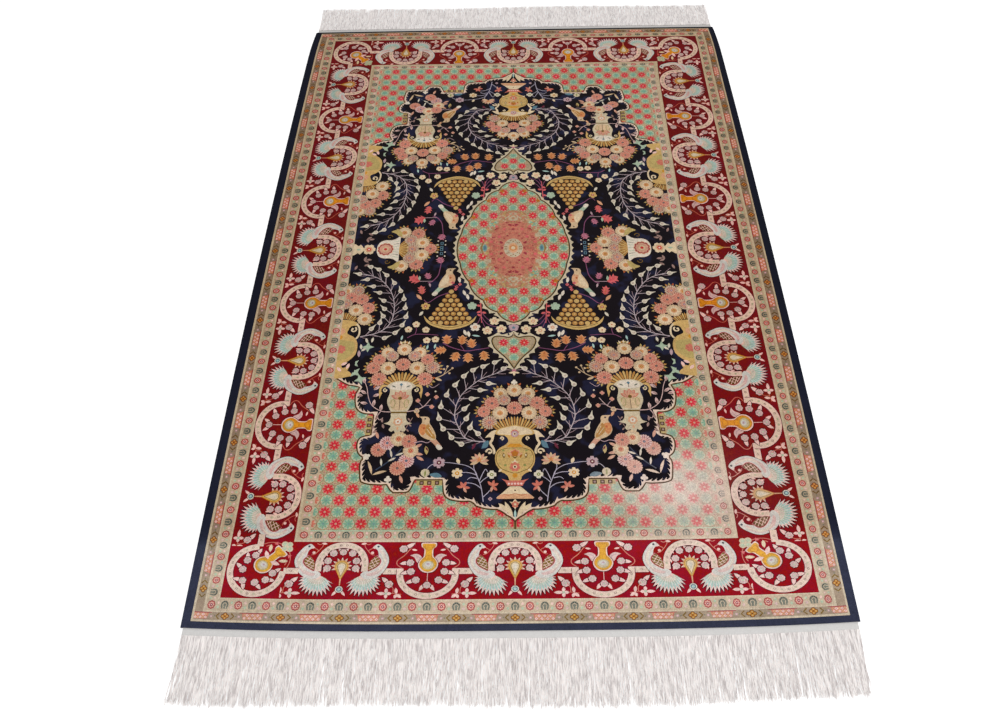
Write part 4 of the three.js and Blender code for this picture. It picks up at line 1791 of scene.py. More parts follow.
        half.lay(Dye.STRAW, turned([(0, -84), (16, -80), (28, -66), (30, -52), (26, -40), (0, -36)], 2))
        half.lay(Dye.SALMON, petalled(10, 7, 0.25), at=4 - 58j)
        half.lay(Dye.PEACH, petalled(9, 7, 0.25), at=-16j)
        half.lay(Dye.GOLD, disc(5, 8), at=-30j)
        half.lay(Dye.NAVY, disc(10, 10), at=24 - 12j)
        half.stamp(curl(6.5, 3.4, Dye.CREAM), at=23 - 12j, turn=60)
        half.lay(Dye.CREAM, ribbon(flowing([28 + 2j, 34 - 8j, 35 - 24j, 30 - 34j], 3, closed=False), 3.5))
        drawing.lay(Dye.NAVY, np.array([-325, -290, -290, -325]) + 1j * np.array([-300, -300, -160, -160]))
        drawing.stamp(half, at=-325 - 190j)
        drawing.lay(
            Dye.PALE_GOLD, flowing([-325 - 276j, -312 - 290j, -300 - 284j, -306 - 300j, -325 - 306j], 3)
        )
        for place, turn in ((-316 - 284j, 0), (-305 - 292j, 40), (-314 - 298j, 100)):
            drawing.lay(Dye.PALE_PINK, leaf(13, 6), at=place, turn=turn - 60)
        rows = [
            (-325, -108, 14, "cream"), (-303, -106, 12, "grey"), (-293, -128, 13, "pink"),
            (-314, -124, 13, "pink"), (-323, -140, 12, "grey"), (-279, -150, 13, "pink"),
            (-302, -155, 14, "cream"), (-283, -177, 14, "cream"),
        ]
        drawing.stamp(bouquet(rows, -325 - 165j))

    def maple(self, drawing: Drawing) -> None:
        """Lays the branch of orange leaves and the white buds beside it."""
        drawing.stamp(sprig([-131 - 234j, -116 - 244j, -89 - 253j, -66 - 250j, -45 - 246j], Dye.MAUVE, 1.8))
        drawing.stamp(sprig([-98 - 240j, -93 - 248j, -90 - 254j], Dye.MAUVE, 1.4))
        for place, turn in (
            (-122 - 237j, 8), (-96 - 238j, -4), (-76 - 246j, 10), (-124 - 250j, 96), (-103 - 256j, 160),
            (-84 - 258j, 182), (-56 - 254j, 190),
        ):
            drawing.lay(
                Dye.PEACH,
                *(shape.outline for shape in lobed_leaf(22.5, 20.5, Dye.PEACH, Dye.PEACH).shapes),
                at=place,
                turn=turn,
            )
            drawing.stamp(
                lobed_leaf(20, 17.5, Dye.ORANGE, Dye.RUST), at=place + 0.8 * way(turn + 90), turn=turn
            )
        drawing.stamp(sprig([-198 - 222j, -184 - 214j, -160 - 214j, -140 - 216j], Dye.MAUVE, 1.6))
        drawing.stamp(sprig([-184 - 214j, -182 - 200j, -190 - 190j], Dye.MAUVE, 1.3))
        for place in (-183 - 190j, -197 - 202j, -164 - 203j, -161 - 228j, -145 - 226j):
            drawing.lay(Dye.CREAM, petalled(7.4, 5, 0.2), at=place)
            drawing.lay(Dye.RUST, disc(1.8, 5), at=place)
        for place in (-158 - 238j, -144 - 236j, -207 - 216j):
            drawing.lay(Dye.SKY, leaf(12, 4), at=place, turn=170)
        drawing.stamp(sprig([-141 - 314j, -131 - 309j, -124 - 304j, -112 - 293j], Dye.BISCUIT, 1.6))
        drawing.stamp(sprig([-126 - 306j, -120 - 289j], Dye.BISCUIT, 1.4))
        for place in (-120 - 288j, -111 - 292j, -116 - 303j, -126 - 294j, -132 - 301j):
            drawing.lay(Dye.BISCUIT, disc(2.3, 6), at=place)
        drawing.lay(Dye.BISCUIT, leaf(13, 5, 2), at=-141 - 315j, turn=-100)

    def ball_pyramid(self, drawing: Drawing) -> None:
        """Lays the shallow bowl with a pyramid of golden balls."""
        apex, step, row_step = -120 - 110j, 11.8, -10.9j
        bowl = [
            -170 - 169j, -170 - 169j, -160 - 181j, -146 - 189j, -120 - 194j, -94 - 189j, -80 - 181j,
            -70 - 169j, -70 - 169j,
        ]
        bowl += [-75 - 183j, -90 - 195j, -120 - 203j, -150 - 195j, -165 - 183j]
        drawing.lay(
            Dye.BROWN,
            np.array(
                [apex + 7j, apex + 7.2 * row_step + 41, apex + 7.6 * row_step, apex + 7.2 * row_step - 41]
            ),
        )
        for row in range(8):
            for i in range(row + 1):
                at = apex + row * row_step + (i - row / 2) * step
                if row == 7 and abs((at - apex).real) > 38:
                    continue
                drawing.lay(Dye.BROWN, disc(6.1, 8), at=at)
                drawing.lay(Dye.HONEY if (row + i) % 3 else Dye.WHEAT, disc(5.1, 9), at=at)
                drawing.lay(Dye.PALE_GOLD, disc(2.4, 6), at=at - 0.6 + 1.0j)
        drawing.lay(Dye.BROWN, shifted_loop(flowing(bowl, 3)[::-1], 0.9))
        drawing.lay(Dye.WHEAT, flowing(bowl, 3))
        drawing.lay(
            Dye.OLIVE,
            ribbon(
                flowing([-158 - 186j, -142 - 193j, -120 - 198j, -98 - 193j, -82 - 186j], 3, closed=False), 1.2
            ),
        )

    def twig_bird(self, drawing: Drawing) -> None:
        """Lays the pale bird over the pyramid and its flowering twigs."""
        drawing.stamp(sprig([-167 - 88j, -158 - 84j, -148 - 70j, -145 - 55j, -143 - 37j], Dye.MAUVE, 2.0))
        drawing.stamp(sprig([-183 - 84j, -170 - 84j, -158 - 84j], Dye.LILAC, 1.4))
        drawing.stamp(sprig([-125 - 113j, -145 - 122j, -163 - 137j, -172 - 130j], Dye.MAUVE, 1.8))
        drawing.stamp(lobed_leaf(25, 24, Dye.CHERRY_PINK, Dye.CHERRY), at=-183 - 84j, turn=62)
        drawing.lay(Dye.PALE_GREEN, leaf(12, 5), at=-184 - 82j, turn=0)
        drawing.stamp(lobed_leaf(17, 15, Dye.MAUVE_PINK, Dye.MAUVE), at=-164 - 78j, turn=26)
        drawing.stamp(lobed_leaf(17, 18, Dye.MAUVE_PINK, Dye.MAUVE), at=-142 - 38j, turn=24)
        drawing.stamp(lobed_leaf(22, 17, Dye.CHERRY_PINK, Dye.RUST), at=-176 - 116j, turn=10)
        drawing.lay(Dye.PEACH, leaf(18, 7), at=-176 - 130j, turn=40)
        drawing.stamp(small_flower(9, 5, Dye.PALE_GOLD, Dye.RUST), at=-168 - 146j)
        drawing.lay(Dye.PEARL, leaf(13, 6), at=-172 - 158j, turn=150)
        drawing.lay(Dye.LILAC, leaf(11, 4), at=-164 - 88j, turn=-165)
        drawing.stamp(songbird(Dye.PEACH, Dye.CREAM, Dye.PALE_GREEN), at=-124 - 57j, flip=True, size=1.04)
        for place in (-118 - 88j, -110 - 98j, -112 - 104j, -104 - 92j):
            drawing.stamp(small_flower(3.6, 4, Dye.CHERRY_PINK, Dye.PLUM), at=place)
        drawing.stamp(sprig([-126 - 96j, -116 - 95j, -106 - 98j], Dye.PLUM, 1.4))

    def oval_shrub(self, drawing: Drawing) -> None:
        """Lays the shrub between the pyramid and the oval."""
        drawing.stamp(sprig([-63 - 128j, -62 - 150j, -60 - 186j], Dye.CHERRY_PINK, 2.2))
        for line in (
            [-61 - 160j, -50 - 176j, -38 - 184j],
            [-60 - 172j, -48 - 190j, -26 - 198j],
            [-60 - 180j, -54 - 196j, -50 - 204j],
            [-61 - 168j, -66 - 184j, -72 - 194j],
        ):
            drawing.stamp(sprig(line, Dye.MAUVE, 1.4))
        for place, turn in ((-62 - 146j, 70), (-62 - 158j, 120), (-60 - 160j, -110), (-61 - 170j, 60)):
            drawing.lay(Dye.CHERRY_PINK, leaf(9, 5), at=place, turn=turn)
        for place, dye in (
            (-72 - 197j, Dye.IVORY), (-49 - 205j, Dye.CREAM), (-36 - 182j, Dye.CREAM),
            (-23 - 201j, Dye.CREAM), (-197j, Dye.LILAC),
        ):
            drawing.stamp(small_flower(10, 5, dye, Dye.PEACH), at=place)
        drawing.lay(Dye.PALE_GREEN, petalled(9.5, 5, 0.25), at=-79 - 145j)
        for place, turn in (
            (-86 - 130j, 15), (-92 - 120j, 20), (-104 - 88j, 10), (-85 - 206j, 190), (-93 - 203j, 200)
        ):
            drawing.lay(Dye.IVORY, leaf(15, 6), at=place, turn=turn)
        drawing.lay(Dye.SKY, leaf(16, 4), at=-62 - 219j, turn=80)

    def oval(self, drawing: Drawing) -> None:
        """Lays the middle oval and the pendant at its end."""
        line = self.oval_line()
        full = np.concatenate([line, np.conj(line[-2::-1]), -line[1:], -np.conj(line[-2:0:-1])])
        self.framed(drawing, full)
        inside = shifted_loop(full, -2.8)
        reach = shifted_loop(full, 4)
        drawing.stamp(
            self.lattice(lambda place: covers(reach, np.array([place]))[0], self.oval_cell, True, inside)
        )
        glow = [
            -102j, -10 - 99j, -22 - 97j, -29 - 89j, -29 - 72j, -31 - 58j, -42 - 53j, -50 - 50j, -50 - 36j,
            -53 - 29j, -53 - 20j, -61 - 11j, -67 + 0j,
        ]
        drawing.lay(Dye.FAINT, flowing([*glow, -60 + 30j, 30j, 20 + 0j, 20 - 90j], 3))
        drawing.lay(
            Dye.TERRACOTTA,
            flowing(
                [-72j, -18 - 70j, -28 - 60j, -42 - 44j, -48 - 22j, -46 + 0j, -40 + 20j, 20j, 20 - 60j], 3
            ),
        )
        drawing.lay(Dye.FAINT, flowing([-60 + 0j, -52 - 13j, -36 - 9j, -26 + 0j, -36 + 9j, -52 + 13j], 3))
        for dye, radius in ((Dye.OLIVE_LINE, 18), (Dye.FAINT, 17), (Dye.BEIGE, 12), (Dye.FAINT, 7)):
            drawing.lay(dye, disc(radius, 12, 1.1), at=-84j)
        draw = np.random.default_rng(5)
        inner, outer = [
            Dye.CLAY, Dye.FAINT, Dye.TERRACOTTA, Dye.SALMON, Dye.GARNET, Dye.CLAY
        ], [Dye.BEIGE, Dye.FAINT, Dye.STRAW, Dye.TERRACOTTA, Dye.BEIGE, Dye.PETAL]
        for share, turn, pick in zip(
            draw.uniform(0.25, 1.06, 300) ** 0.7, draw.uniform(180, 270, 300), draw.integers(0, 6, 300)
        ):
            place = share * (60 * way(turn).real + 95j * way(turn).imag)
            drawing.lay(
                (outer if share > 0.8 else inner)[pick],
                disc(draw.uniform(1.2, 2.8), 5, draw.uniform(0.6, 1.8)),
                at=place,
            )
        for place in (-28 - 30j, -18 - 50j, -44 - 16j, -34 - 58j):
            drawing.lay(Dye.CHERRY_PINK, star(5, 2.2, 8), at=place)
        drawing.lay(Dye.OLIVE_LINE, flowing([-59 - 18j, -66 + 0j, -59 + 18j, -62 + 0j], 3))
        drawing.lay(Dye.SLATE_GREEN, disc(10, 8, 0.5), at=-57 + 0j)
        drawing.lay(Dye.SLATE, disc(6, 6, 0.5), at=-57 + 0j)
        drawing.lay(Dye.CLAY, petalled(5, 6, 0.2), at=-37 + 0j)
        drawing.lay(Dye.SAND, disc(25, 16, 0.78))
        for ring_radius, dots in ((21, 22), (17, 18)):
            for i in range(dots):
                place = ring_radius * np.exp(2j * np.pi * (i + 0.5) / dots)
                drawing.lay(
                    Dye.OLIVE if i % 2 else Dye.PALE_GREEN,
                    disc(1.5, 4),
                    at=complex(place.real * 0.78, place.imag),
                )
        drawing.lay(Dye.PEACH, disc(13, 10, 0.75))
        drawing.lay(Dye.ORANGE, petalled(8, 6, 0.2))
        drawing.lay(Dye.CREAM, petalled(4.5, 6, 0.2))
        for place, turn in ((-57 - 132j, 40), (-29 - 160j, 60), (-87 - 86j, 10)):
            drawing.lay(Dye.AMBER, star(8, 3, 5), at=place + 5 + 3j, turn=turn)
        self.pendant(drawing)

    def framed(self, drawing: Drawing, loop: Places) -> None:
        """Lays a toothed cream, a dark and a gold line round a clockwise loop, and the beige ground in it."""
        drawing.lay(Dye.ECRU, toothed_loop(loop, 3.4, 5.6, 15.0))
        drawing.lay(Dye.INK, shifted_loop(loop, 0.6))
        drawing.lay(Dye.OLIVE_LINE, shifted_loop(loop, -1.3))
        drawing.lay(Dye.TAN, shifted_loop(loop, -2.6))

    def pendant(self, drawing: Drawing) -> None:
        """Lays the small pendant at the oval's end."""
        turn = [
            -209j, -209j, -3 - 217j, -10 - 221j, -18 - 219j, -30 - 218j, -38 - 221j, -41 - 231j, -36 - 246j,
            -26 - 258j,
        ]
        left = flowing([*turn, -16 - 269j, -8 - 281j, -295j, -295j], 3, closed=False)
        loop = np.concatenate([left[::-1], -np.conj(left[1:-1])])
        self.framed(drawing, loop)
        inside = shifted_loop(loop, -2.8)
        red, green = lattice_pair()
        knot = lattice_knot()
        for place, motif in (
            (-19 - 234j, red), (19 - 234j, red), (-251j, red), (-232j, green), (-19 - 252j, green),
            (19 - 252j, green), (-269j, green), (-9.5 - 242j, knot), (9.5 - 242j, knot), (-28 - 243j, knot),
            (28 - 243j, knot), (-28 - 225j, knot), (28 - 225j, knot), (-9.5 - 223j, knot),
            (9.5 - 223j, knot), (-9.5 - 260j, knot), (9.5 - 260j, knot), (-279j, knot),
        ):
            part = Drawing()
            part.stamp(motif, at=complex(place), size=0.95)
            drawing.shapes += [Shape(dye, outline, inside) for dye, outline, _ in part.shapes]
        drawing.lay(Dye.LILAC, star(9.5, 5.5, 7), at=-198j)
        drawing.lay(Dye.SLATE, star(5, 2, 5), at=-198j)
        drawing.lay(Dye.MAUVE_PINK, leaf(14, 8), at=-308j)
        drawing.lay(Dye.CREAM, leaf(11, 5), at=-310j)
        for side in (-1, 1):
            drawing.lay(Dye.CREAM, leaf(10, 4), at=-302j, turn=side * 100)


def shifted_loop(loop: Places, distance: float | Places) -> Places:
    """A closed, clockwise outline moved outwards by a distance."""
    heading = np.roll(loop, -1) - np.roll(loop, 1)
    return loop + 1j * heading / np.maximum(np.abs(heading), 1e-9) * distance


def toothed_loop(loop: Places, depth: float, teeth: float, pitch: float = 9.0) -> Places:
    """A closed, clockwise outline moved outwards, with leaf-like teeth."""
    length = np.abs(np.diff(np.append(loop, loop[0]))).sum()
    count = 5 * round(length / pitch) + 1
    places, _ = spaced(np.append(loop, loop[0]), count)
    reach = depth + teeth * np.resize([0.0, 0.15, 0.5, 1.0, 0.3], count - 1)
    return shifted_loop(places[:-1], reach)


def field_quarters(part: Field) -> list[tuple[str, Mosaic]]:
    """The lattice ground and the medallion."""
    x, y = FIELD
    rim = part.medallion_line()
    ground = part.ground().cut(np.concatenate([[complex(-x, -y), complex(0, -y)], rim]), Dye.BEIGE)
    medallion = part.medallion().cut(np.concatenate([[0, -x], rim[::-1]]), Dye.NAVY)
    near = two_ways(medallion)
    return [
        ("pile_ground", four_ways(ground)),
        ("pile_medallion_near", near),
        ("pile_medallion_far", near.moved(np.conjugate)),
    ]


def pile_parts() -> list[tuple[str, Mosaic]]:
    """Every piece of the pile, by name, with its dyed faces as drawn."""
    guards = Guards()
    inner_corner = (FIELD[0] + OUTWARDS["inner line"], FIELD[1] + OUTWARDS["inner line"])
    return [
        *field_quarters(Field()),
        ("pile_border", MainBorder().made(inner_corner)),
        ("pile_inner_guard", guards.inner()),
        ("pile_outer_guards", guards.outer()),
        ("pile_edge", guards.edge()),
    ]


# ---- The cloth ----


@dataclass(frozen=True)
class Edge:
    """One edge of the knotted cloth, at its middle and towards its corners.

    Attributes:
        reach: How far it lies from the middle of the cloth, where it lies furthest out.
        bands: How far each line of OUTWARDS but the last lies from the design's own middle, on this side.
        sweep: How far a side draws in, or how far an end bows out.
        crest: Where a side lies furthest out, as a share of the half length.
        tilt: How much further out an end's right corner lies than its middle.
    """

    reach: float
    bands: tuple[float, ...]
    sweep: float
    crest: float = 0.0
    tilt: float = 0.0


@dataclass(frozen=True)
class Loom:
    """The true shape of the cloth, which is never quite straight, and where the drawing lies on it.

    Attributes:
        left, right, near, far: The cloth's edges.
        middle: The design's middle, from the cloth's.
        pulls: Where beating and stretching have pulled the knots: the middle, its reach across and along, and
            how far the knots have moved.
        corner_pull: How far the sides draw in at the corners, over their last stretch.
        corner_start: Where that stretch starts, as a share of the half length.
        side_power: How soon the sides' drawing in fades towards the middle of the cloth.
        bow_power: How sharply the ends' bow falls off towards the corners.
    """

    left: Edge = Edge(513.5, (325, 344, 348, 449, 452, 470, 473, 487, 491), sweep=15, crest=0.4)
    right: Edge = Edge(513.5, (327, 343, 349.5, 460, 464, 480, 484, 499, 502), sweep=9, crest=0.2)
    near: Edge = Edge(766, (604, 621, 624, 716, 718, 736, 738, 750, 753), sweep=9.5)
    far: Edge = Edge(761, (604, 617, 621, 725, 728, 741, 743, 756, 758), sweep=1.5, tilt=5)
    middle: complex = -4.4 - 3j
    pulls: tuple[tuple[complex, float, float, complex], ...] = (
        (0, 300, 300, -1.5 + 3j),
        (-120 + 235j, 480, 160, 12j),
        (100 + 525j, 330, 70, -13j),
        (300 - 140j, 420, 110, -9j),
        (420 - 470j, 160, 80, -7j),
        (-340 + 50j, 110, 900, 3),
        (240, 90, 230, -3),
        (160 - 520j, 130, 150, 3),
        (310 + 700j, 120, 90, 6),
    )
    corner_pull: float = 5.0
    corner_start: float = 0.86
    side_power: int = 8
    bow_power: int = 3

    def drawn_in(self, side: Edge, along: np.ndarray) -> np.ndarray:
        """How far a side stands in from its crest, at shares of the half length."""
        corner = np.maximum(0, (along - self.corner_start) / (1 - self.corner_start))
        return side.sweep * ((along - side.crest) / (1 + side.crest)) ** 2 + self.corner_pull * corner**2

    def laid(self, place: Places) -> Places:
        """Where places of the drawing lie on the cloth, in millimetres."""
        place = place + sum(
            pull * np.exp(-(((place.real - at.real) / across) ** 2) - ((place.imag - at.imag) / along) ** 2)
            for at, across, along, pull in self.pulls
        )
        v, near = place.imag, place.imag < 0
        marks = FIELD[1] + np.array([-FIELD[1], *OUTWARDS.values()])
        ends = []
        for way, end in ((-1, self.near), (1, self.far)):
            lines = [0, *end.bands, end.reach + way * -self.middle.imag]
            ends.append(self.middle.imag + way * np.interp(np.abs(v), marks, lines))
        along = np.where(near, ends[0] / self.near.reach, ends[1] / self.far.reach)
        u, left = place.real, place.real < 0
        marks = FIELD[0] + np.array([-FIELD[0], *OUTWARDS.values()])
        x = np.zeros(len(place))
        for way, side, mine in ((-1, self.left, left), (1, self.right, ~left)):
            reach = side.reach - self.drawn_in(side, np.zeros(1))[0]
            lines = [0, *side.bands, reach - way * self.middle.real]
            out = self.middle.real + way * np.interp(np.abs(u), marks, lines)
            pulled = self.drawn_in(side, along) - self.drawn_in(side, np.zeros(1))
            x = np.where(mine, out - way * pulled * (np.abs(out) / reach) ** self.side_power, x)
        across = x / self.left.reach
        bow = np.where(near, self.near.sweep, self.far.sweep) * -np.abs(across) ** self.bow_power
        tilt = np.where(near, self.near.tilt, self.far.tilt) * across
        reach = np.where(near, self.near.reach, self.far.reach)
        past = np.sign(v) * np.maximum(0, np.abs(v) - FIELD[1] - OUTWARDS["edge"])
        return x + 1j * (along * (reach + bow + tilt) + past)


@dataclass(frozen=True)
class Layer:
    """A closed layer of the cloth over a mosaic of faces.

    Attributes:
        name: The piece's name.
        face: How high its dyed face lies, in millimetres. It faces down if it lies below the back.
        back: How high its plain back lies.
    """

    name: str
    face: float
    back: float

    def made(self, mosaic: Mosaic) -> bpy.types.Object:
        """Makes the closed layer.

        Args:
            mosaic: Its dyed faces, where they lie on the rug.

        Returns:
            The piece.
        """
        rims = mosaic.rims()
        rim = np.concatenate(rims)
        count = len(mosaic.places)
        under = dict(zip(rim.tolist(), range(count, count + len(rim))))
        heights = np.repeat([self.face, self.back], [count, len(rim)])
        places = np.concatenate([mosaic.places, mosaic.places[rim]])
        verts = np.stack([places.real, places.imag, heights], 1) * MM
        walls = []
        for loop in rims:
            a, b = loop, np.roll(loop, -1)
            c, d = np.array([under[i] for i in b.tolist()]), np.array([under[i] for i in a.tolist()])
            walls += [np.stack([a, c, b], 1), np.stack([a, d, c], 1)]
        walls = np.concatenate(walls)
        back = self.filled(mosaic.places, rims)
        back = np.array([[under[i] for i in face] for face in back.tolist()])[:, ::-1]
        faces = np.concatenate([mosaic.faces, walls, back])
        if self.face < self.back:
            faces = faces[:, ::-1]
        plain = dict(zip(mosaic.faces[:, 0].tolist(), mosaic.dyes.tolist()))
        wall_dyes = [plain.get(i, mosaic.dyes[0]) for i in walls[:, 0].tolist()]
        dyes = np.concatenate([mosaic.dyes, wall_dyes, np.full(len(back), DYES.index(Dye.BAND))]).astype(int)
        return woven_mesh(self.name, verts, faces, dyes)

    @staticmethod
    def filled(places: Places, rims: list[np.ndarray]) -> np.ndarray:
        """Plain faces that fill the closed lines, by the same corners."""
        order = np.concatenate(rims)
        ends = np.cumsum([0] + [len(rim) for rim in rims])
        lines = np.concatenate(
            [
                np.stack([np.arange(a, b), np.roll(np.arange(a, b), -1)], 1)
                for a, b in zip(ends[:-1], ends[1:])
            ]
        )
        points = [Vector((place.real, place.imag)) for place in places[order]]
        _, _, faces, origins, *_ = delaunay_2d_cdt(points, lines.tolist(), [], 0, FILL_MERGE, True)
        named = np.array([order[origin[0]] if origin else -1 for origin in origins])
        faces = named[np.array(faces)].tolist()
        rim_sides = {(a, b) for rim in rims for a, b in zip(rim.tolist(), np.roll(rim, -1).tolist())}
        beside = {side: i for i, (a, b, c) in enumerate(faces) for side in ((a, b), (b, c), (c, a))}
        inside, waiting = set(), [beside[side] for side in rim_sides]
        while waiting:
            here = waiting.pop()
            if here in inside:
                continue
            inside.add(here)
            a, b, c = faces[here]
            waiting += [
                beside[end, start] for start, end in ((a, b), (b, c), (c, a)) if (start, end) not in rim_sides
            ]
        return np.array([faces[i] for i in sorted(inside)])


@dataclass(frozen=True)
class Foundation:
    """The woven ground under the pile: a plain band past each end, and the design seen from behind.

    Attributes:
        name: The piece's name.
        thickness: Of the ground, in millimetres.
        dots: How many of the lattice's dots lie from the middle to a side and to an end.
        step: Between two dots, across and along.
    """

    name: str = "foundation"
    thickness: float = PILE_FOOT
    dots: tuple[int, int] = (16, 30)
    step: tuple[float, float] = (20.43, 20.34)

    def back(self) -> Drawing:
        """The near left quarter of the back: the design's fields of colour and largest forms."""
        x, y = FIELD
        drawing = Drawing()
        dyes = [
            Dye.BEIGE, Dye.CREAM, Dye.BEIGE, Dye.CRIMSON, Dye.INK, Dye.BEIGE, Dye.CREAM, Dye.SAND, Dye.GOLD,
            Dye.EDGE_NAVY,
        ]
        for dye, out in reversed(list(zip(dyes, OUTWARDS.values()))):
            drawing.lay(dye, np.array([0, -1j * (y + out), -x - out - 1j * (y + out), -x - out]))
        for i, k in itertools.product(range(self.dots[0]), range(self.dots[1])):
            dot = complex(-i * self.step[0], -k * self.step[1])
            drawing.lay(Dye.RED if (i + k) % 2 else Dye.TURQUOISE, disc(7, 6), at=dot)
        line = Field().medallion_line()
        drawing.lay(Dye.NAVY, np.concatenate([[0, -x], line[::-1]]))
        for radius, dye in ((36, Dye.CREAM), (27, Dye.CHERRY_PINK), (12, Dye.CREAM)):
            for place in (-370j, -201 - 275j, -200 - 462j, -205, -300 - 145j):
                drawing.lay(dye, disc(radius, 12), at=complex(place))
        drawing.lay(Dye.PALE_GOLD, disc(22, 12, 1.2), at=-490j)
        drawing.lay(Dye.BEIGE, np.concatenate([[0], Field().oval_line()]))
        drawing.lay(Dye.TERRACOTTA, disc(66, 16, 0.7))
        return drawing

    def made(self, place: Callable[[Places], Places]) -> bpy.types.Object:
        """Makes the ground.

        Args:
            place: Gives where places of the drawing lie on the rug.

        Returns:
            The piece.
        """
        x, y = (half + OUTWARDS["edge"] for half in FIELD)
        edge = np.array([0, -x + SELVEDGE, -x + SELVEDGE - 1j * (y + BAND_DEPTH), -1j * (y + BAND_DEPTH)])
        mosaic = four_ways(self.back().cut(edge, Dye.BAND))
        return Layer(self.name, 0.0, self.thickness).made(mosaic.moved(place))


@dataclass(frozen=True)
class Selvedge:
    """The side cord: a few outer warps overcast with dark thread.

    Attributes:
        name: The piece's name.
        way: -1 on the left, 1 on the right.
        height: Of the cord.
        pitch: Between two turns of the thread.
        ridge: How far each turn stands out.
    """

    name: str
    way: int
    height: float = 2.9
    pitch: float = 2.4
    ridge: float = 0.16

    def made(self, place: Callable[[Places], Places]) -> bpy.types.Object:
        """Makes the cord.

        Args:
            place: Gives where places of the drawing lie on the rug.

        Returns:
            The piece.
        """
        x, y = (half + OUTWARDS["edge"] for half in FIELD)
        rings = 2 * round(y * 2 / self.pitch) + 1  # one at the top of each turn and one between
        along = np.linspace(-y, y, rings)
        inner, outer = (place(self.way * (x - width) + 1j * along) for width in (SELVEDGE, 0))
        # The cord's section: share outwards, share of the height, and how far a ridge moves it in and down
        outline = [
            (0, 0.1, 0, 0),
            (0, 0.92, 0, 1),
            (0.35, 1.0, 0, 1),
            (0.75, 0.95, 0, 1),
            (0.97, 0.7, 1, 0.5),
            (1.0, 0.4, 1, 0),
            (0.9, 0.08, 1, 0),
            (0.5, 0.0, 0, 0),
        ]
        shares, heights, drawn_in, drawn_down = np.array(outline).T
        stand = np.where(np.arange(rings) % 2, self.ridge, 0.0)[:, None]
        share = shares - stand / SELVEDGE * drawn_in
        spots = inner[:, None] + (outer - inner)[:, None] * share
        level = heights * self.height - stand * drawn_down
        verts = np.stack([spots.real, spots.imag, np.broadcast_to(level, spots.shape)], -1).reshape(-1, 3)
        sides = len(shares)
        step = np.arange(rings - 1)[:, None] * sides
        a, b = step + np.arange(sides), step + np.roll(np.arange(sides), -1)
        quads = [np.stack([a, b, b + sides], -1), np.stack([a, b + sides, a + sides], -1)]
        start = np.array([[0, i + 1, i] for i in range(1, sides - 1)])
        faces = np.concatenate(
            [*(quad.reshape(-1, 3) for quad in quads), start, start[:, ::-1] + (rings - 1) * sides]
        )
        if self.way < 0:
            faces = faces[:, ::-1]
        return woven_mesh(self.name, verts * MM, faces, np.full(len(faces), DYES.index(Dye.EDGE_NAVY)))


def woven_mesh(name: str, verts: np.ndarray, faces: np.ndarray, dyes: np.ndarray) -> bpy.types.Object:
    """Makes a piece from corners and faces, with each face's dye kept as an attribute.

    Args:
        name: The piece's name.
        verts: Its corners, in metres.
        faces: The numbers of each face's three corners.
        dyes: The number of each face's dye.

    Returns:
        The piece.
    """
    mesh = bpy.data.meshes.new(name)
    mesh.from_pydata(verts.tolist(), [], faces.tolist())
    levels = np.array([dye.value for dye in DYES]) / 255
    linear = np.where(levels <= 0.04045, levels / 12.92, ((levels + 0.055) / 1.055) ** 2.4)
    colours = np.concatenate([linear[dyes], np.ones((len(dyes), 1))], 1)
    layer = mesh.attributes.new(DYE_LAYER, "FLOAT_COLOR", "CORNER")
    layer.data.foreach_set("color", np.repeat(colours, 3, axis=0).ravel())
    piece = bpy.data.objects.new(name, mesh)
    bpy.context.scene.collection.objects.link(piece)
    mesh.validate()
    return piece


# ---- Finishes ----

# Where the painted sheen and shade of the pile's lean change, as soft steps in metres: from where they start
# to where they are full
NEAR_BORDER = (-0.612, -0.634)  # along the rug, into the near border
PAST_BORDER = (-0.634, -0.59)  # along the rug, out of the near border
SIDE_BORDERS = (0.332, 0.346)  # from the middle line, into the side borders
SIDE_LENGTH = (-0.5, -0.1)  # along the rug, where the side borders grow deeper
FAR_BORDER = (0.6, 0.625)  # along the rug, into the far border
# Painted sheen: a soft pale spot near the field's near right corner, on the lighter dyes only
SHEEN_SPOT_MIDDLE = (0.265, -0.535)  # where the pile is palest, in metres
SHEEN_SPOT_REACH = (0.11, 0.075)  # how far that reaches across and along
SHEEN_SPOT_PALE = (0.86, 0.67, 0.60, 1)
SHEEN_SPOT_LEVELS = (0.03, 0.25)  # dark dyes don't pale, light ones do in full
INDIGO = (0.010, 0.010, 0.030, 1)  # the bluer lots of the dark yarn
INDIGO_LEVELS = (0.016, 0.010)  # only the darkest dye has them
INDIGO_CLOUDS = (0.52, 0.62)  # how much of it they take, as levels of a soft noise


def new_group(name: str, inputs: dict[str, tuple[str, float]], outputs: dict[str, str]) -> bpy.types.NodeTree:
    """Starts a node group with named inputs and outputs.

    Args:
        name: Its name.
        inputs: Each input's kind and starting value.
        outputs: Each output's kind.

    Returns:
        The group.
    """
    group = bpy.data.node_groups.new(name, "ShaderNodeTree")
    for socket, (kind, value) in inputs.items():
        made = group.interface.new_socket(socket, in_out="INPUT", socket_type=f"NodeSocket{kind}")
        if kind == "Float":
            made.default_value = value
    for socket, kind in outputs.items():
        group.interface.new_socket(socket, in_out="OUTPUT", socket_type=f"NodeSocket{kind}")
    return group


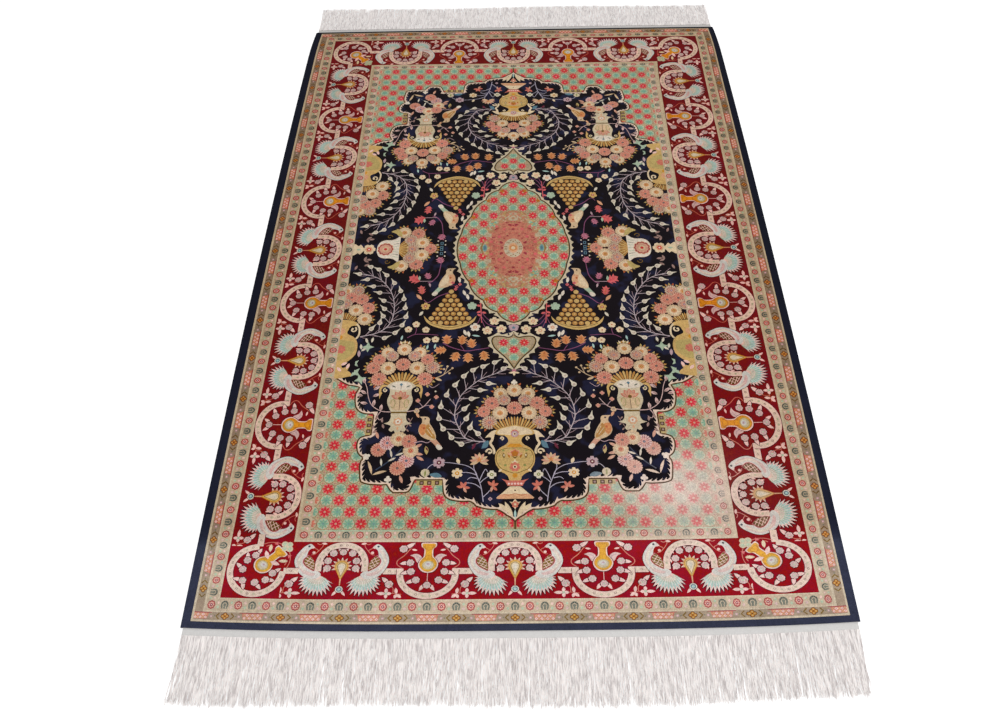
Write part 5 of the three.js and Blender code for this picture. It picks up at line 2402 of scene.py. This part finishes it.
@dataclass
class Nodes:
    """Adds nodes to a tree and links them.

    Attributes:
        tree: The node tree.
    """

    tree: bpy.types.NodeTree

    def add(self, kind: str, settings: dict | None = None, **inputs: object) -> bpy.types.Node:
        """Adds a node.

        Args:
            kind: Its type, in full.
            settings: Its own settings by name.
            **inputs: Sockets to link, or values to set, by name with _ for a space.

        Returns:
            The node.
        """
        node = self.tree.nodes.new(kind)
        for name, value in (settings or {}).items():
            setattr(node, name, value)
        for name, value in inputs.items():
            self.put(node, name.replace("_", " "), value)
        return node

    def put(self, node: bpy.types.Node, name: str, value: object) -> None:
        """Links a socket, or sets a value, on a node's input of that name or number."""
        socket = node.inputs[int(name)] if name.isdigit() else node.inputs[name]
        if isinstance(value, bpy.types.NodeSocket):
            self.tree.links.new(value, socket)
        else:
            socket.default_value = value

    def maths(self, operation: str, *values: object) -> bpy.types.NodeSocket:
        """The result of a Math node on two or three numbers or sockets."""
        node = self.add("ShaderNodeMath", {"operation": operation})
        for i, value in enumerate(values):
            self.put(node, str(i), value)
        return node.outputs[0]

    def noise(self, place: bpy.types.NodeSocket, scale: float, detail: float = 2.0) -> bpy.types.NodeSocket:
        """A soft uneven value from 0 to 1."""
        return self.add("ShaderNodeTexNoise", None, Vector=place, Scale=scale, Detail=detail).outputs["Fac"]

    def stretched(
        self, place: bpy.types.NodeSocket, size: tuple[float, float, float]
    ) -> bpy.types.NodeSocket:
        """Places scaled by a size along each axis."""
        return self.add("ShaderNodeMapping", None, Vector=place, Scale=size).outputs[0]


def knots_group() -> bpy.types.NodeTree:
    """The look of hand knots: rows of small knots, each a little lighter or darker than the next.

    Returns:
        A group that takes a dye and the knots' size, and gives the dye as knotted and the knots' height.
    """
    sizes = {"Dye": ("Color", 0), "Knots per metre": ("Float", 900), "Unevenness": ("Float", 0.1)}
    group = new_group("knots", sizes, {"Color": "Color", "Height": "Float"})
    nodes = Nodes(group)
    given = nodes.add("NodeGroupInput").outputs
    place = nodes.add("ShaderNodeTexCoord").outputs["Object"]
    grid = nodes.add(
        "ShaderNodeVectorMath", {"operation": "SCALE"}, Vector=place, Scale=given["Knots per metre"]
    )
    cell = nodes.add("ShaderNodeVectorMath", {"operation": "FLOOR"})
    nodes.put(cell, "0", grid.outputs[0])
    dot = nodes.add(
        "ShaderNodeTexWhiteNoise", {"noise_dimensions": "2D"}, Vector=cell.outputs[0]
    ).outputs["Value"]
    split = nodes.add("ShaderNodeSeparateXYZ", None, Vector=grid.outputs[0])
    waves = [
        nodes.maths("ABSOLUTE", nodes.maths("SINE", nodes.maths("MULTIPLY", split.outputs[i], math.pi)))
        for i in (0, 1)
    ]
    height = nodes.maths("POWER", nodes.maths("MULTIPLY", waves[0], waves[1]), 0.5)
    abrash = nodes.noise(nodes.stretched(place, (0.6, 7, 1)), 3, 3)
    blotch = nodes.noise(place, 26, 3)
    tuft = nodes.noise(place, 210, 1)
    uneven = nodes.maths("SUBTRACT", dot, 0.5)
    for scale in (abrash, blotch, tuft):
        uneven = nodes.maths("ADD", uneven, nodes.maths("SUBTRACT", scale, 0.5))
    value = nodes.maths("MULTIPLY_ADD", uneven, given["Unevenness"], 1.0)
    hue = nodes.maths("MULTIPLY_ADD", nodes.maths("SUBTRACT", tuft, blotch), 0.02, 0.5)
    shaded = nodes.add("ShaderNodeHueSaturation", None, Color=given["Dye"], Hue=hue, Value=value).outputs[0]
    out = nodes.add("NodeGroupOutput")
    nodes.put(out, "Color", shaded)
    nodes.put(out, "Height", height)
    return group


def lean_group() -> bpy.types.NodeTree:
    """Painted sheen and shade where the pile lies over: painted shade deepens the dyes past the near border,
    along the sides and at the far end, the near border keeps its dyes and reads lighter as painted sheen, and
    one painted sheen spot pales them near the field's near right corner.

    Returns:
        A group that takes a dye and how strong each effect is, and gives the dye with that painted sheen and
        shade.
    """
    sizes = {"Dye": ("Color", 0), "Field": ("Float", 1.0), "Sides": ("Float", 0.3)}
    sizes |= {"Far end": ("Float", 0.3), "Worn": ("Float", 0.4)}
    group = new_group("lean", sizes, {"Color": "Color"})
    nodes = Nodes(group)
    given = nodes.add("NodeGroupInput").outputs
    place = nodes.add("ShaderNodeTexCoord").outputs["Object"]
    x, y, _ = nodes.add("ShaderNodeSeparateXYZ", None, Vector=place).outputs

    def past(value: bpy.types.NodeSocket, step: tuple[float, float]) -> bpy.types.NodeSocket:
        """A soft step, from 0 at its start to 1 at its end."""
        settings = {"interpolation_type": "SMOOTHSTEP"}
        return nodes.add(
            "ShaderNodeMapRange", settings, Value=value, From_Min=step[0], From_Max=step[1]
        ).outputs[0]

    # Painted shade: deeper dyes past the near border, along the sides and at the far end; the near border
    # keeps its dyes and reads lighter, as painted sheen
    near = past(y, NEAR_BORDER)
    inland = past(y, PAST_BORDER)
    sides = nodes.maths(
        "MULTIPLY", past(nodes.maths("ABSOLUTE", x), SIDE_BORDERS), nodes.maths("SUBTRACT", 1.0, near)
    )
    sides = nodes.maths("MULTIPLY", sides, nodes.maths("MULTIPLY_ADD", past(y, SIDE_LENGTH), 0.6, 0.4))
    sides = nodes.maths("MULTIPLY", sides, given["Sides"])
    sides = nodes.maths("MAXIMUM", sides, nodes.maths("MULTIPLY", past(y, FAR_BORDER), given["Far end"]))
    power = nodes.maths("ADD", nodes.maths("MULTIPLY_ADD", inland, given["Field"], 1.0), sides)
    deep = nodes.add("ShaderNodeGamma", None, Color=given["Dye"], Gamma=power).outputs[0]
    # Painted sheen: the soft pale spot near the field's near right corner, on the lighter dyes only
    away = nodes.add("ShaderNodeVectorMath", {"operation": "MULTIPLY_ADD"})
    nodes.put(away, "0", place)
    nodes.put(away, "1", (1 / SHEEN_SPOT_REACH[0], 1 / SHEEN_SPOT_REACH[1], 0))
    nodes.put(away, "2", (-SHEEN_SPOT_MIDDLE[0] / SHEEN_SPOT_REACH[0], -SHEEN_SPOT_MIDDLE[1] / SHEEN_SPOT_REACH[1], 0))
    far_off = nodes.add("ShaderNodeVectorMath", {"operation": "DOT_PRODUCT"})
    nodes.put(far_off, "0", away.outputs[0])
    nodes.put(far_off, "1", away.outputs[0])
    share = nodes.maths("EXPONENT", nodes.maths("MULTIPLY", far_off.outputs["Value"], -1.0))
    mixed = nodes.add("ShaderNodeMix", {"data_type": "RGBA"})
    level = nodes.add("ShaderNodeRGBToBW", None, Color=given["Dye"]).outputs[0]
    worn = nodes.maths("MULTIPLY", share, past(level, SHEEN_SPOT_LEVELS))
    nodes.put(mixed, "Factor", nodes.maths("MULTIPLY", worn, given["Worn"]))
    nodes.put(mixed, "6", deep)
    nodes.put(mixed, "7", SHEEN_SPOT_PALE)
    cloud = nodes.add("ShaderNodeTexNoise", None, Vector=place, Scale=26.0, Detail=2.0).outputs[0]
    blue = nodes.add("ShaderNodeMix", {"data_type": "RGBA"})
    nodes.put(blue, "Factor", nodes.maths("MULTIPLY", past(cloud, INDIGO_CLOUDS), past(level, INDIGO_LEVELS)))
    nodes.put(blue, "6", mixed.outputs[2])
    nodes.put(blue, "7", INDIGO)
    out = nodes.add("NodeGroupOutput")
    nodes.put(out, "Color", blue.outputs[2])
    return group


def new_finish(name: str, **values: object) -> tuple[bpy.types.Material, Nodes, bpy.types.Node]:
    """Starts a material.

    Args:
        name: Its name.
        **values: Settings of its shader, by name with _ for a space.

    Returns:
        The material, its nodes and its shader.
    """
    material = bpy.data.materials.new(name)
    material.use_nodes = True
    nodes = Nodes(material.node_tree)
    shader = material.node_tree.nodes["Principled BSDF"]
    for socket, value in values.items():
        nodes.put(shader, socket.replace("_", " "), value)
    return material, nodes, shader


@dataclass(frozen=True)
class SilkPile:
    """Short silk pile: every knot of a slightly different shade, a soft sheen, and painted sheen and shade in
    its dyes where the pile lies over.

    Attributes:
        name: The finish's name.
        roughness: How matt it is.
        gloss: How much light its fibres throw back.
        knots: Knots in a metre.
        unevenness: How much the shade varies.
        field: How much deeper the painted shade makes the dyes past the near border.
        sides: How much deeper the painted shade makes them along the sides.
        far_end: How much deeper the painted shade makes them at the far end.
        worn: How pale the painted sheen spot near the field's near right corner is.
    """

    name: str = "silk pile"
    roughness: float = 0.75
    gloss: float = 0.1
    knots: float = 850.0
    unevenness: float = 0.36
    field: float = 0.22
    sides: float = 0.38
    far_end: float = 0.34
    worn: float = 0.7

    def made(self, knots: bpy.types.NodeTree, lean: bpy.types.NodeTree) -> bpy.types.Material:
        """Makes the material from the shared knots and the lean group, which paints sheen and shade into the
        dyes.
        """
        material, nodes, shader = new_finish(
            self.name, Roughness=self.roughness, Specular_IOR_Level=self.gloss
        )
        dye = nodes.add("ShaderNodeAttribute", {"attribute_name": DYE_LAYER}).outputs["Color"]
        # Painted sheen and shade: the dyes deepen or pale by where they lie on the rug
        painted_sheen = nodes.add(
            "ShaderNodeGroup", {"node_tree": lean}, Dye=dye, Field=self.field, Sides=self.sides
        )
        nodes.put(painted_sheen, "Far end", self.far_end)
        nodes.put(painted_sheen, "Worn", self.worn)
        rows = nodes.add("ShaderNodeGroup", {"node_tree": knots}, Dye=painted_sheen.outputs[0])
        nodes.put(rows, "Knots per metre", self.knots)
        nodes.put(rows, "Unevenness", self.unevenness)
        nodes.put(shader, "Base Color", rows.outputs["Color"])
        bump = nodes.add(
            "ShaderNodeBump", None, Height=rows.outputs["Height"], Distance=0.0003, Strength=0.35
        )
        nodes.put(shader, "Normal", bump.outputs[0])
        return material


@dataclass(frozen=True)
class TwistedSilk:
    """Plied warp ends: pale, with painted shade in long dark bands for the hollows between the turns.

    Attributes:
        name: The finish's name.
        colour: Of the silk.
        shade: Of the painted shade in the hollows.
        roughness: How matt it is.
        gloss: How much light its fibres throw back.
        sheen: How much they glow at a flat angle.
    """

    name: str = "twisted silk"
    colour: tuple[float, float, float] = (1.0, 0.955, 0.935)
    shade: tuple[float, float, float] = (0.66, 0.61, 0.60)
    roughness: float = 0.8
    gloss: float = 0.2
    sheen: float = 0.35

    def made(self) -> bpy.types.Material:
        """Makes the material."""
        values = {"Roughness": self.roughness, "Specular_IOR_Level": self.gloss, "Sheen_Weight": self.sheen}
        material, nodes, shader = new_finish(self.name, **values)
        place = nodes.add("ShaderNodeTexCoord").outputs["Object"]
        # Painted shade: long dark bands along the strands stand for the shade in the hollows between the
        # turns; the same noise gives the bump
        shade_streaks = nodes.noise(nodes.stretched(place, (700, 60, 300)), 1, 2)
        mixed = nodes.add("ShaderNodeMix", {"data_type": "RGBA"})
        contrast = nodes.add("ShaderNodeMapRange", None, Value=shade_streaks, From_Min=0.34, From_Max=0.56)
        nodes.put(mixed, "Factor", contrast.outputs[0])
        nodes.put(mixed, "6", (*self.shade, 1))
        nodes.put(mixed, "7", (*self.colour, 1))
        nodes.put(shader, "Base Color", mixed.outputs[2])
        bump = nodes.add("ShaderNodeBump", None, Height=shade_streaks, Distance=0.0002, Strength=0.4)
        nodes.put(shader, "Normal", bump.outputs[0])
        return material


# ---- The fringe ----


@dataclass(frozen=True)
class Fringe:
    """A row of plied warp ends along one end of the cloth.

    Attributes:
        name: The piece's name.
        node: The solid that it stands for.
        way: -1 at the near end, 1 at the far end.
        seed: For the strands' small differences.
        strands: How many strands there are.
        length: From the woven band to the tips, in millimetres.
        thickness: Of one strand.
        inset: How far the outermost strands stand in from the cloth's corners.
        seat: How far past the pile's end the strands start, inside the woven band.
        lock: The width of a lock of strands that lean together.
        taper: The thickness at each step from the root to the tip, as shares.
    """

    name: str
    node: str
    way: int
    seed: int
    strands: int = 3000
    length: float = 90.0
    thickness: float = 0.95
    inset: float = 5.0
    seat: float = 11.0
    lock: float = 9.0
    taper: tuple[float, ...] = (1.0, 1.0, 1.0, 1.0, 1.0, 1.0, 0.9, 0.45)

    def made(self, loom: Loom, shift: complex) -> bpy.types.Object:
        """Makes the strands, joined into one mesh.

        Args:
            loom: The shape of the cloth.
            shift: Where the middle of the cloth lies.

        Returns:
            The piece.
        """
        draw = np.random.default_rng(self.seed)
        count, steps, sides = self.strands, len(self.taper), 3
        x_end, y_end = (half + OUTWARDS["edge"] for half in FIELD)
        u = np.linspace(-x_end + self.inset, x_end - self.inset, count)
        u = u + draw.normal(0, 0.35, count)
        root = loom.laid(u + 1j * self.way * y_end) + 1j * self.way * self.seat
        lock = np.round(root.real / self.lock)
        locks = 300  # more than there are, counted from the middle
        pulls = np.random.default_rng(self.seed + 1).normal(0, 1.4, locks)
        pull = np.interp(root.real / self.lock + locks / 2, np.arange(locks), pulls)
        t = np.linspace(0, 1, steps)[:, None]
        sway = pull * t**1.5 * 2.2 + draw.normal(0, 3.2, count) * t**1.4 + (
            lock * self.lock - root.real
        ) * 0.1 * t
        phase = draw.uniform(0, 2 * np.pi, count)
        wave = draw.uniform(0.5, 1.9, count) * np.sin(
            phase + t * draw.uniform(12, 22, count)
        ) * np.minimum(1, 4 * t)
        reach = self.length + 2.4 * np.sin(root.real * 0.0107 + 0.4) + draw.normal(0, 2.6, count)
        x = root.real + sway + wave
        y = root.imag + self.way * (t * (reach + 3))
        layer = draw.integers(0, 3, count)
        lift = 1.2 * np.maximum(0, 1 - 6 * t)
        z = self.thickness / 2 + lift + layer * 0.35 + 0.25 * np.sin(phase + 9 * t)
        spin = 2 * np.pi * (np.arange(sides) / sides) + phase[:, None]
        thick = self.thickness / 2 * np.array(self.taper)[:, None, None]
        ring = np.stack(
            [
                x[:, :, None] + thick * np.cos(spin),
                np.broadcast_to(y[:, :, None], (steps, count, sides)),
                np.maximum(z[:, :, None] + thick * np.sin(spin), 0.02),
            ],
            -1,
        )
        verts = ring.transpose(1, 0, 2, 3).reshape(-1, 3)
        verts[:, :2] += [shift.real, shift.imag]
        ladder = []
        for step, side in itertools.product(range(steps - 1), range(sides)):
            a, b = step * sides + side, step * sides + (side + 1) % sides
            ladder += [(a, b, b + sides), (a, b + sides, a + sides)]
        ladder += [(2, 1, 0), tuple((steps - 1) * sides + i for i in (0, 1, 2))]
        faces = (np.array(ladder)[None] + np.arange(count)[:, None, None] * steps * sides).reshape(-1, 3)
        if self.way > 0:
            faces = faces[:, ::-1]
        return woven_mesh(self.name, verts * MM, faces, np.full(len(faces), DYES.index(Dye.CREAM)))


# ---- The studio ----


@dataclass(frozen=True)
class Studio:
    """A plain pale floor, soft light and a camera that looks down on the near end of the rug.

    Attributes:
        eye: Where the camera stands, in metres from the middle of the cloth at the pile's height.
        target: Where it looks, from the same place.
        aside: How far both are then moved over the floor, in millimetres.
        roll: How far the camera is tipped, in degrees.
        lens: Its focal length, in millimetres.
        shift_x: How far its picture is moved sideways, as a share of its width.
        room: How strong the room's even light is.
    """

    eye: tuple[float, float, float] = (0.0032, -1.1542, 1.2158)
    target: tuple[float, float, float] = (0.00135, -0.27428, 0.0)
    aside: complex = 4.6 + 1.0j
    roll: float = -0.62
    lens: float = 29.76
    shift_x: float = -0.02
    room: float = 0.6

    def camera(self, shift: complex) -> None:
        """Sets up the camera, for a cloth whose middle lies at a place in millimetres."""
        data = bpy.data.cameras.new("camera")
        data.lens, data.sensor_width, data.shift_x = self.lens, 36.0, self.shift_x
        data.clip_start, data.clip_end = 0.01, 50
        camera = bpy.data.objects.new("camera", data)
        bpy.context.scene.collection.objects.link(camera)
        middle = self.aside + shift
        offset = Vector((middle.real * MM, middle.imag * MM, PILE_TOP * MM))
        eye, target = Vector(self.eye) + offset, Vector(self.target) + offset
        aim = (target - eye).to_track_quat("-Z", "Y")
        camera.rotation_euler = (
            aim.to_matrix() @ Matrix.Rotation(math.radians(self.roll), 3, "Z")
        ).to_euler()
        camera.location = eye
        bpy.context.scene.camera = camera

    def lights(self) -> None:
        """Hangs two wide soft lamps over the near end and fills the room with even light."""
        for name, place, size, power in (
            ("key lamp", (0.4, -1.2, 2.2), 1.6, 18.0),
            ("fill lamp", (0.7, 1.3, 2.4), 2.6, 15.0),
        ):
            data = bpy.data.lights.new(name, "AREA")
            data.size, data.energy = size, power
            lamp = bpy.data.objects.new(name, data)
            lamp.location = place
            lamp.rotation_euler = (Vector((0, -0.3, 0)) - Vector(place)).to_track_quat("-Z", "Y").to_euler()
            bpy.context.scene.collection.objects.link(lamp)
        world = bpy.data.worlds.new("room")
        world.use_nodes = True
        nodes = Nodes(world.node_tree)
        seen = nodes.add("ShaderNodeLightPath").outputs["Is Camera Ray"]
        room = world.node_tree.nodes["Background"]
        room.inputs["Color"].default_value = (1, 1, 1, 1)
        nodes.put(room, "Strength", nodes.maths("MULTIPLY_ADD", seen, 1 - self.room, self.room))
        bpy.context.scene.world = world

    def floor(self) -> bpy.types.Object:
        """Lays the white floor, which keeps the rug's shadow."""
        bpy.ops.mesh.primitive_grid_add(x_subdivisions=8, y_subdivisions=8, size=24, location=(0, 0, -0.0002))
        floor = bpy.context.object
        floor.name = "floor"
        bpy.ops.object.transform_apply(location=True)
        values = {"Base_Color": (0.9, 0.9, 0.9, 1), "Roughness": 0.9, "Specular_IOR_Level": 0.0}
        material, nodes, shader = new_finish("white floor", Emission_Color=(1, 1, 1, 1), **values)
        seen = nodes.add("ShaderNodeLightPath").outputs["Is Camera Ray"]
        nodes.put(shader, "Emission Strength", nodes.maths("MULTIPLY", seen, 0.4))
        floor.data.materials.append(material)
        return floor


# ---- The rug ----


@dataclass
class Rug:
    """The whole rug, and where it lies.

    Attributes:
        loom: The true shape of its cloth.
    """

    loom: Loom = field(default_factory=Loom)

    def place(self) -> complex:
        """Where the middle of the cloth lies, in millimetres."""
        low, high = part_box("rug_cloth")
        return ((low.x + high.x) / 2 + 1j * (low.y + (self.loom.near.reach + BAND_DEPTH) * MM)) / MM


def main() -> None:
    """Makes the rug and the studio round it."""
    rug = Rug()
    shift = rug.place()
    studio = Studio()
    studio.camera(shift)
    studio.lights()
    studio.floor()
    bpy.context.scene.view_settings.view_transform = "Standard"
    # The second group paints the pile's sheen and shade into its dyes, by where they lie on the rug
    knots, lean = knots_group(), lean_group()
    silk = SilkPile().made(knots, lean)

    def on_rug(places: Places) -> Places:
        """Where places of the drawing lie on the rug."""
        return rug.loom.laid(places) + shift

    ground = Foundation().made(on_rug)
    cords = [Selvedge("selvedge_left", -1).made(on_rug), Selvedge("selvedge_right", 1).made(on_rug)]
    pile = [Layer(name, PILE_TOP, PILE_FOOT).made(mosaic.moved(on_rug)) for name, mosaic in pile_parts()]
    plain = SilkPile("plain weave", unevenness=0.08).made(knots, lean)
    for piece in (ground, *cords, *pile):
        piece.data.materials.append(plain if piece is ground else silk)
    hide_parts("rug_cloth")
    strands = TwistedSilk().made()
    fringes = []
    near_end = Fringe("fringe_strands_near", "fringe_near", way=-1, seed=3)
    far_end = Fringe("fringe_strands_far", "fringe_far", way=1, seed=4)
    for fringe in (near_end, far_end):
        piece = fringe.made(rug.loom, shift)
        piece.data.materials.append(strands)
        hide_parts(fringe.node)
        fringes.append(piece)
    rest = [*cords, *pile, *fringes]
    for piece in (ground, *rest):
        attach(piece, "root")
        log.info("%s: %d faces", piece.name, len(piece.data.polygons))


if __name__ == "__main__":
    main()
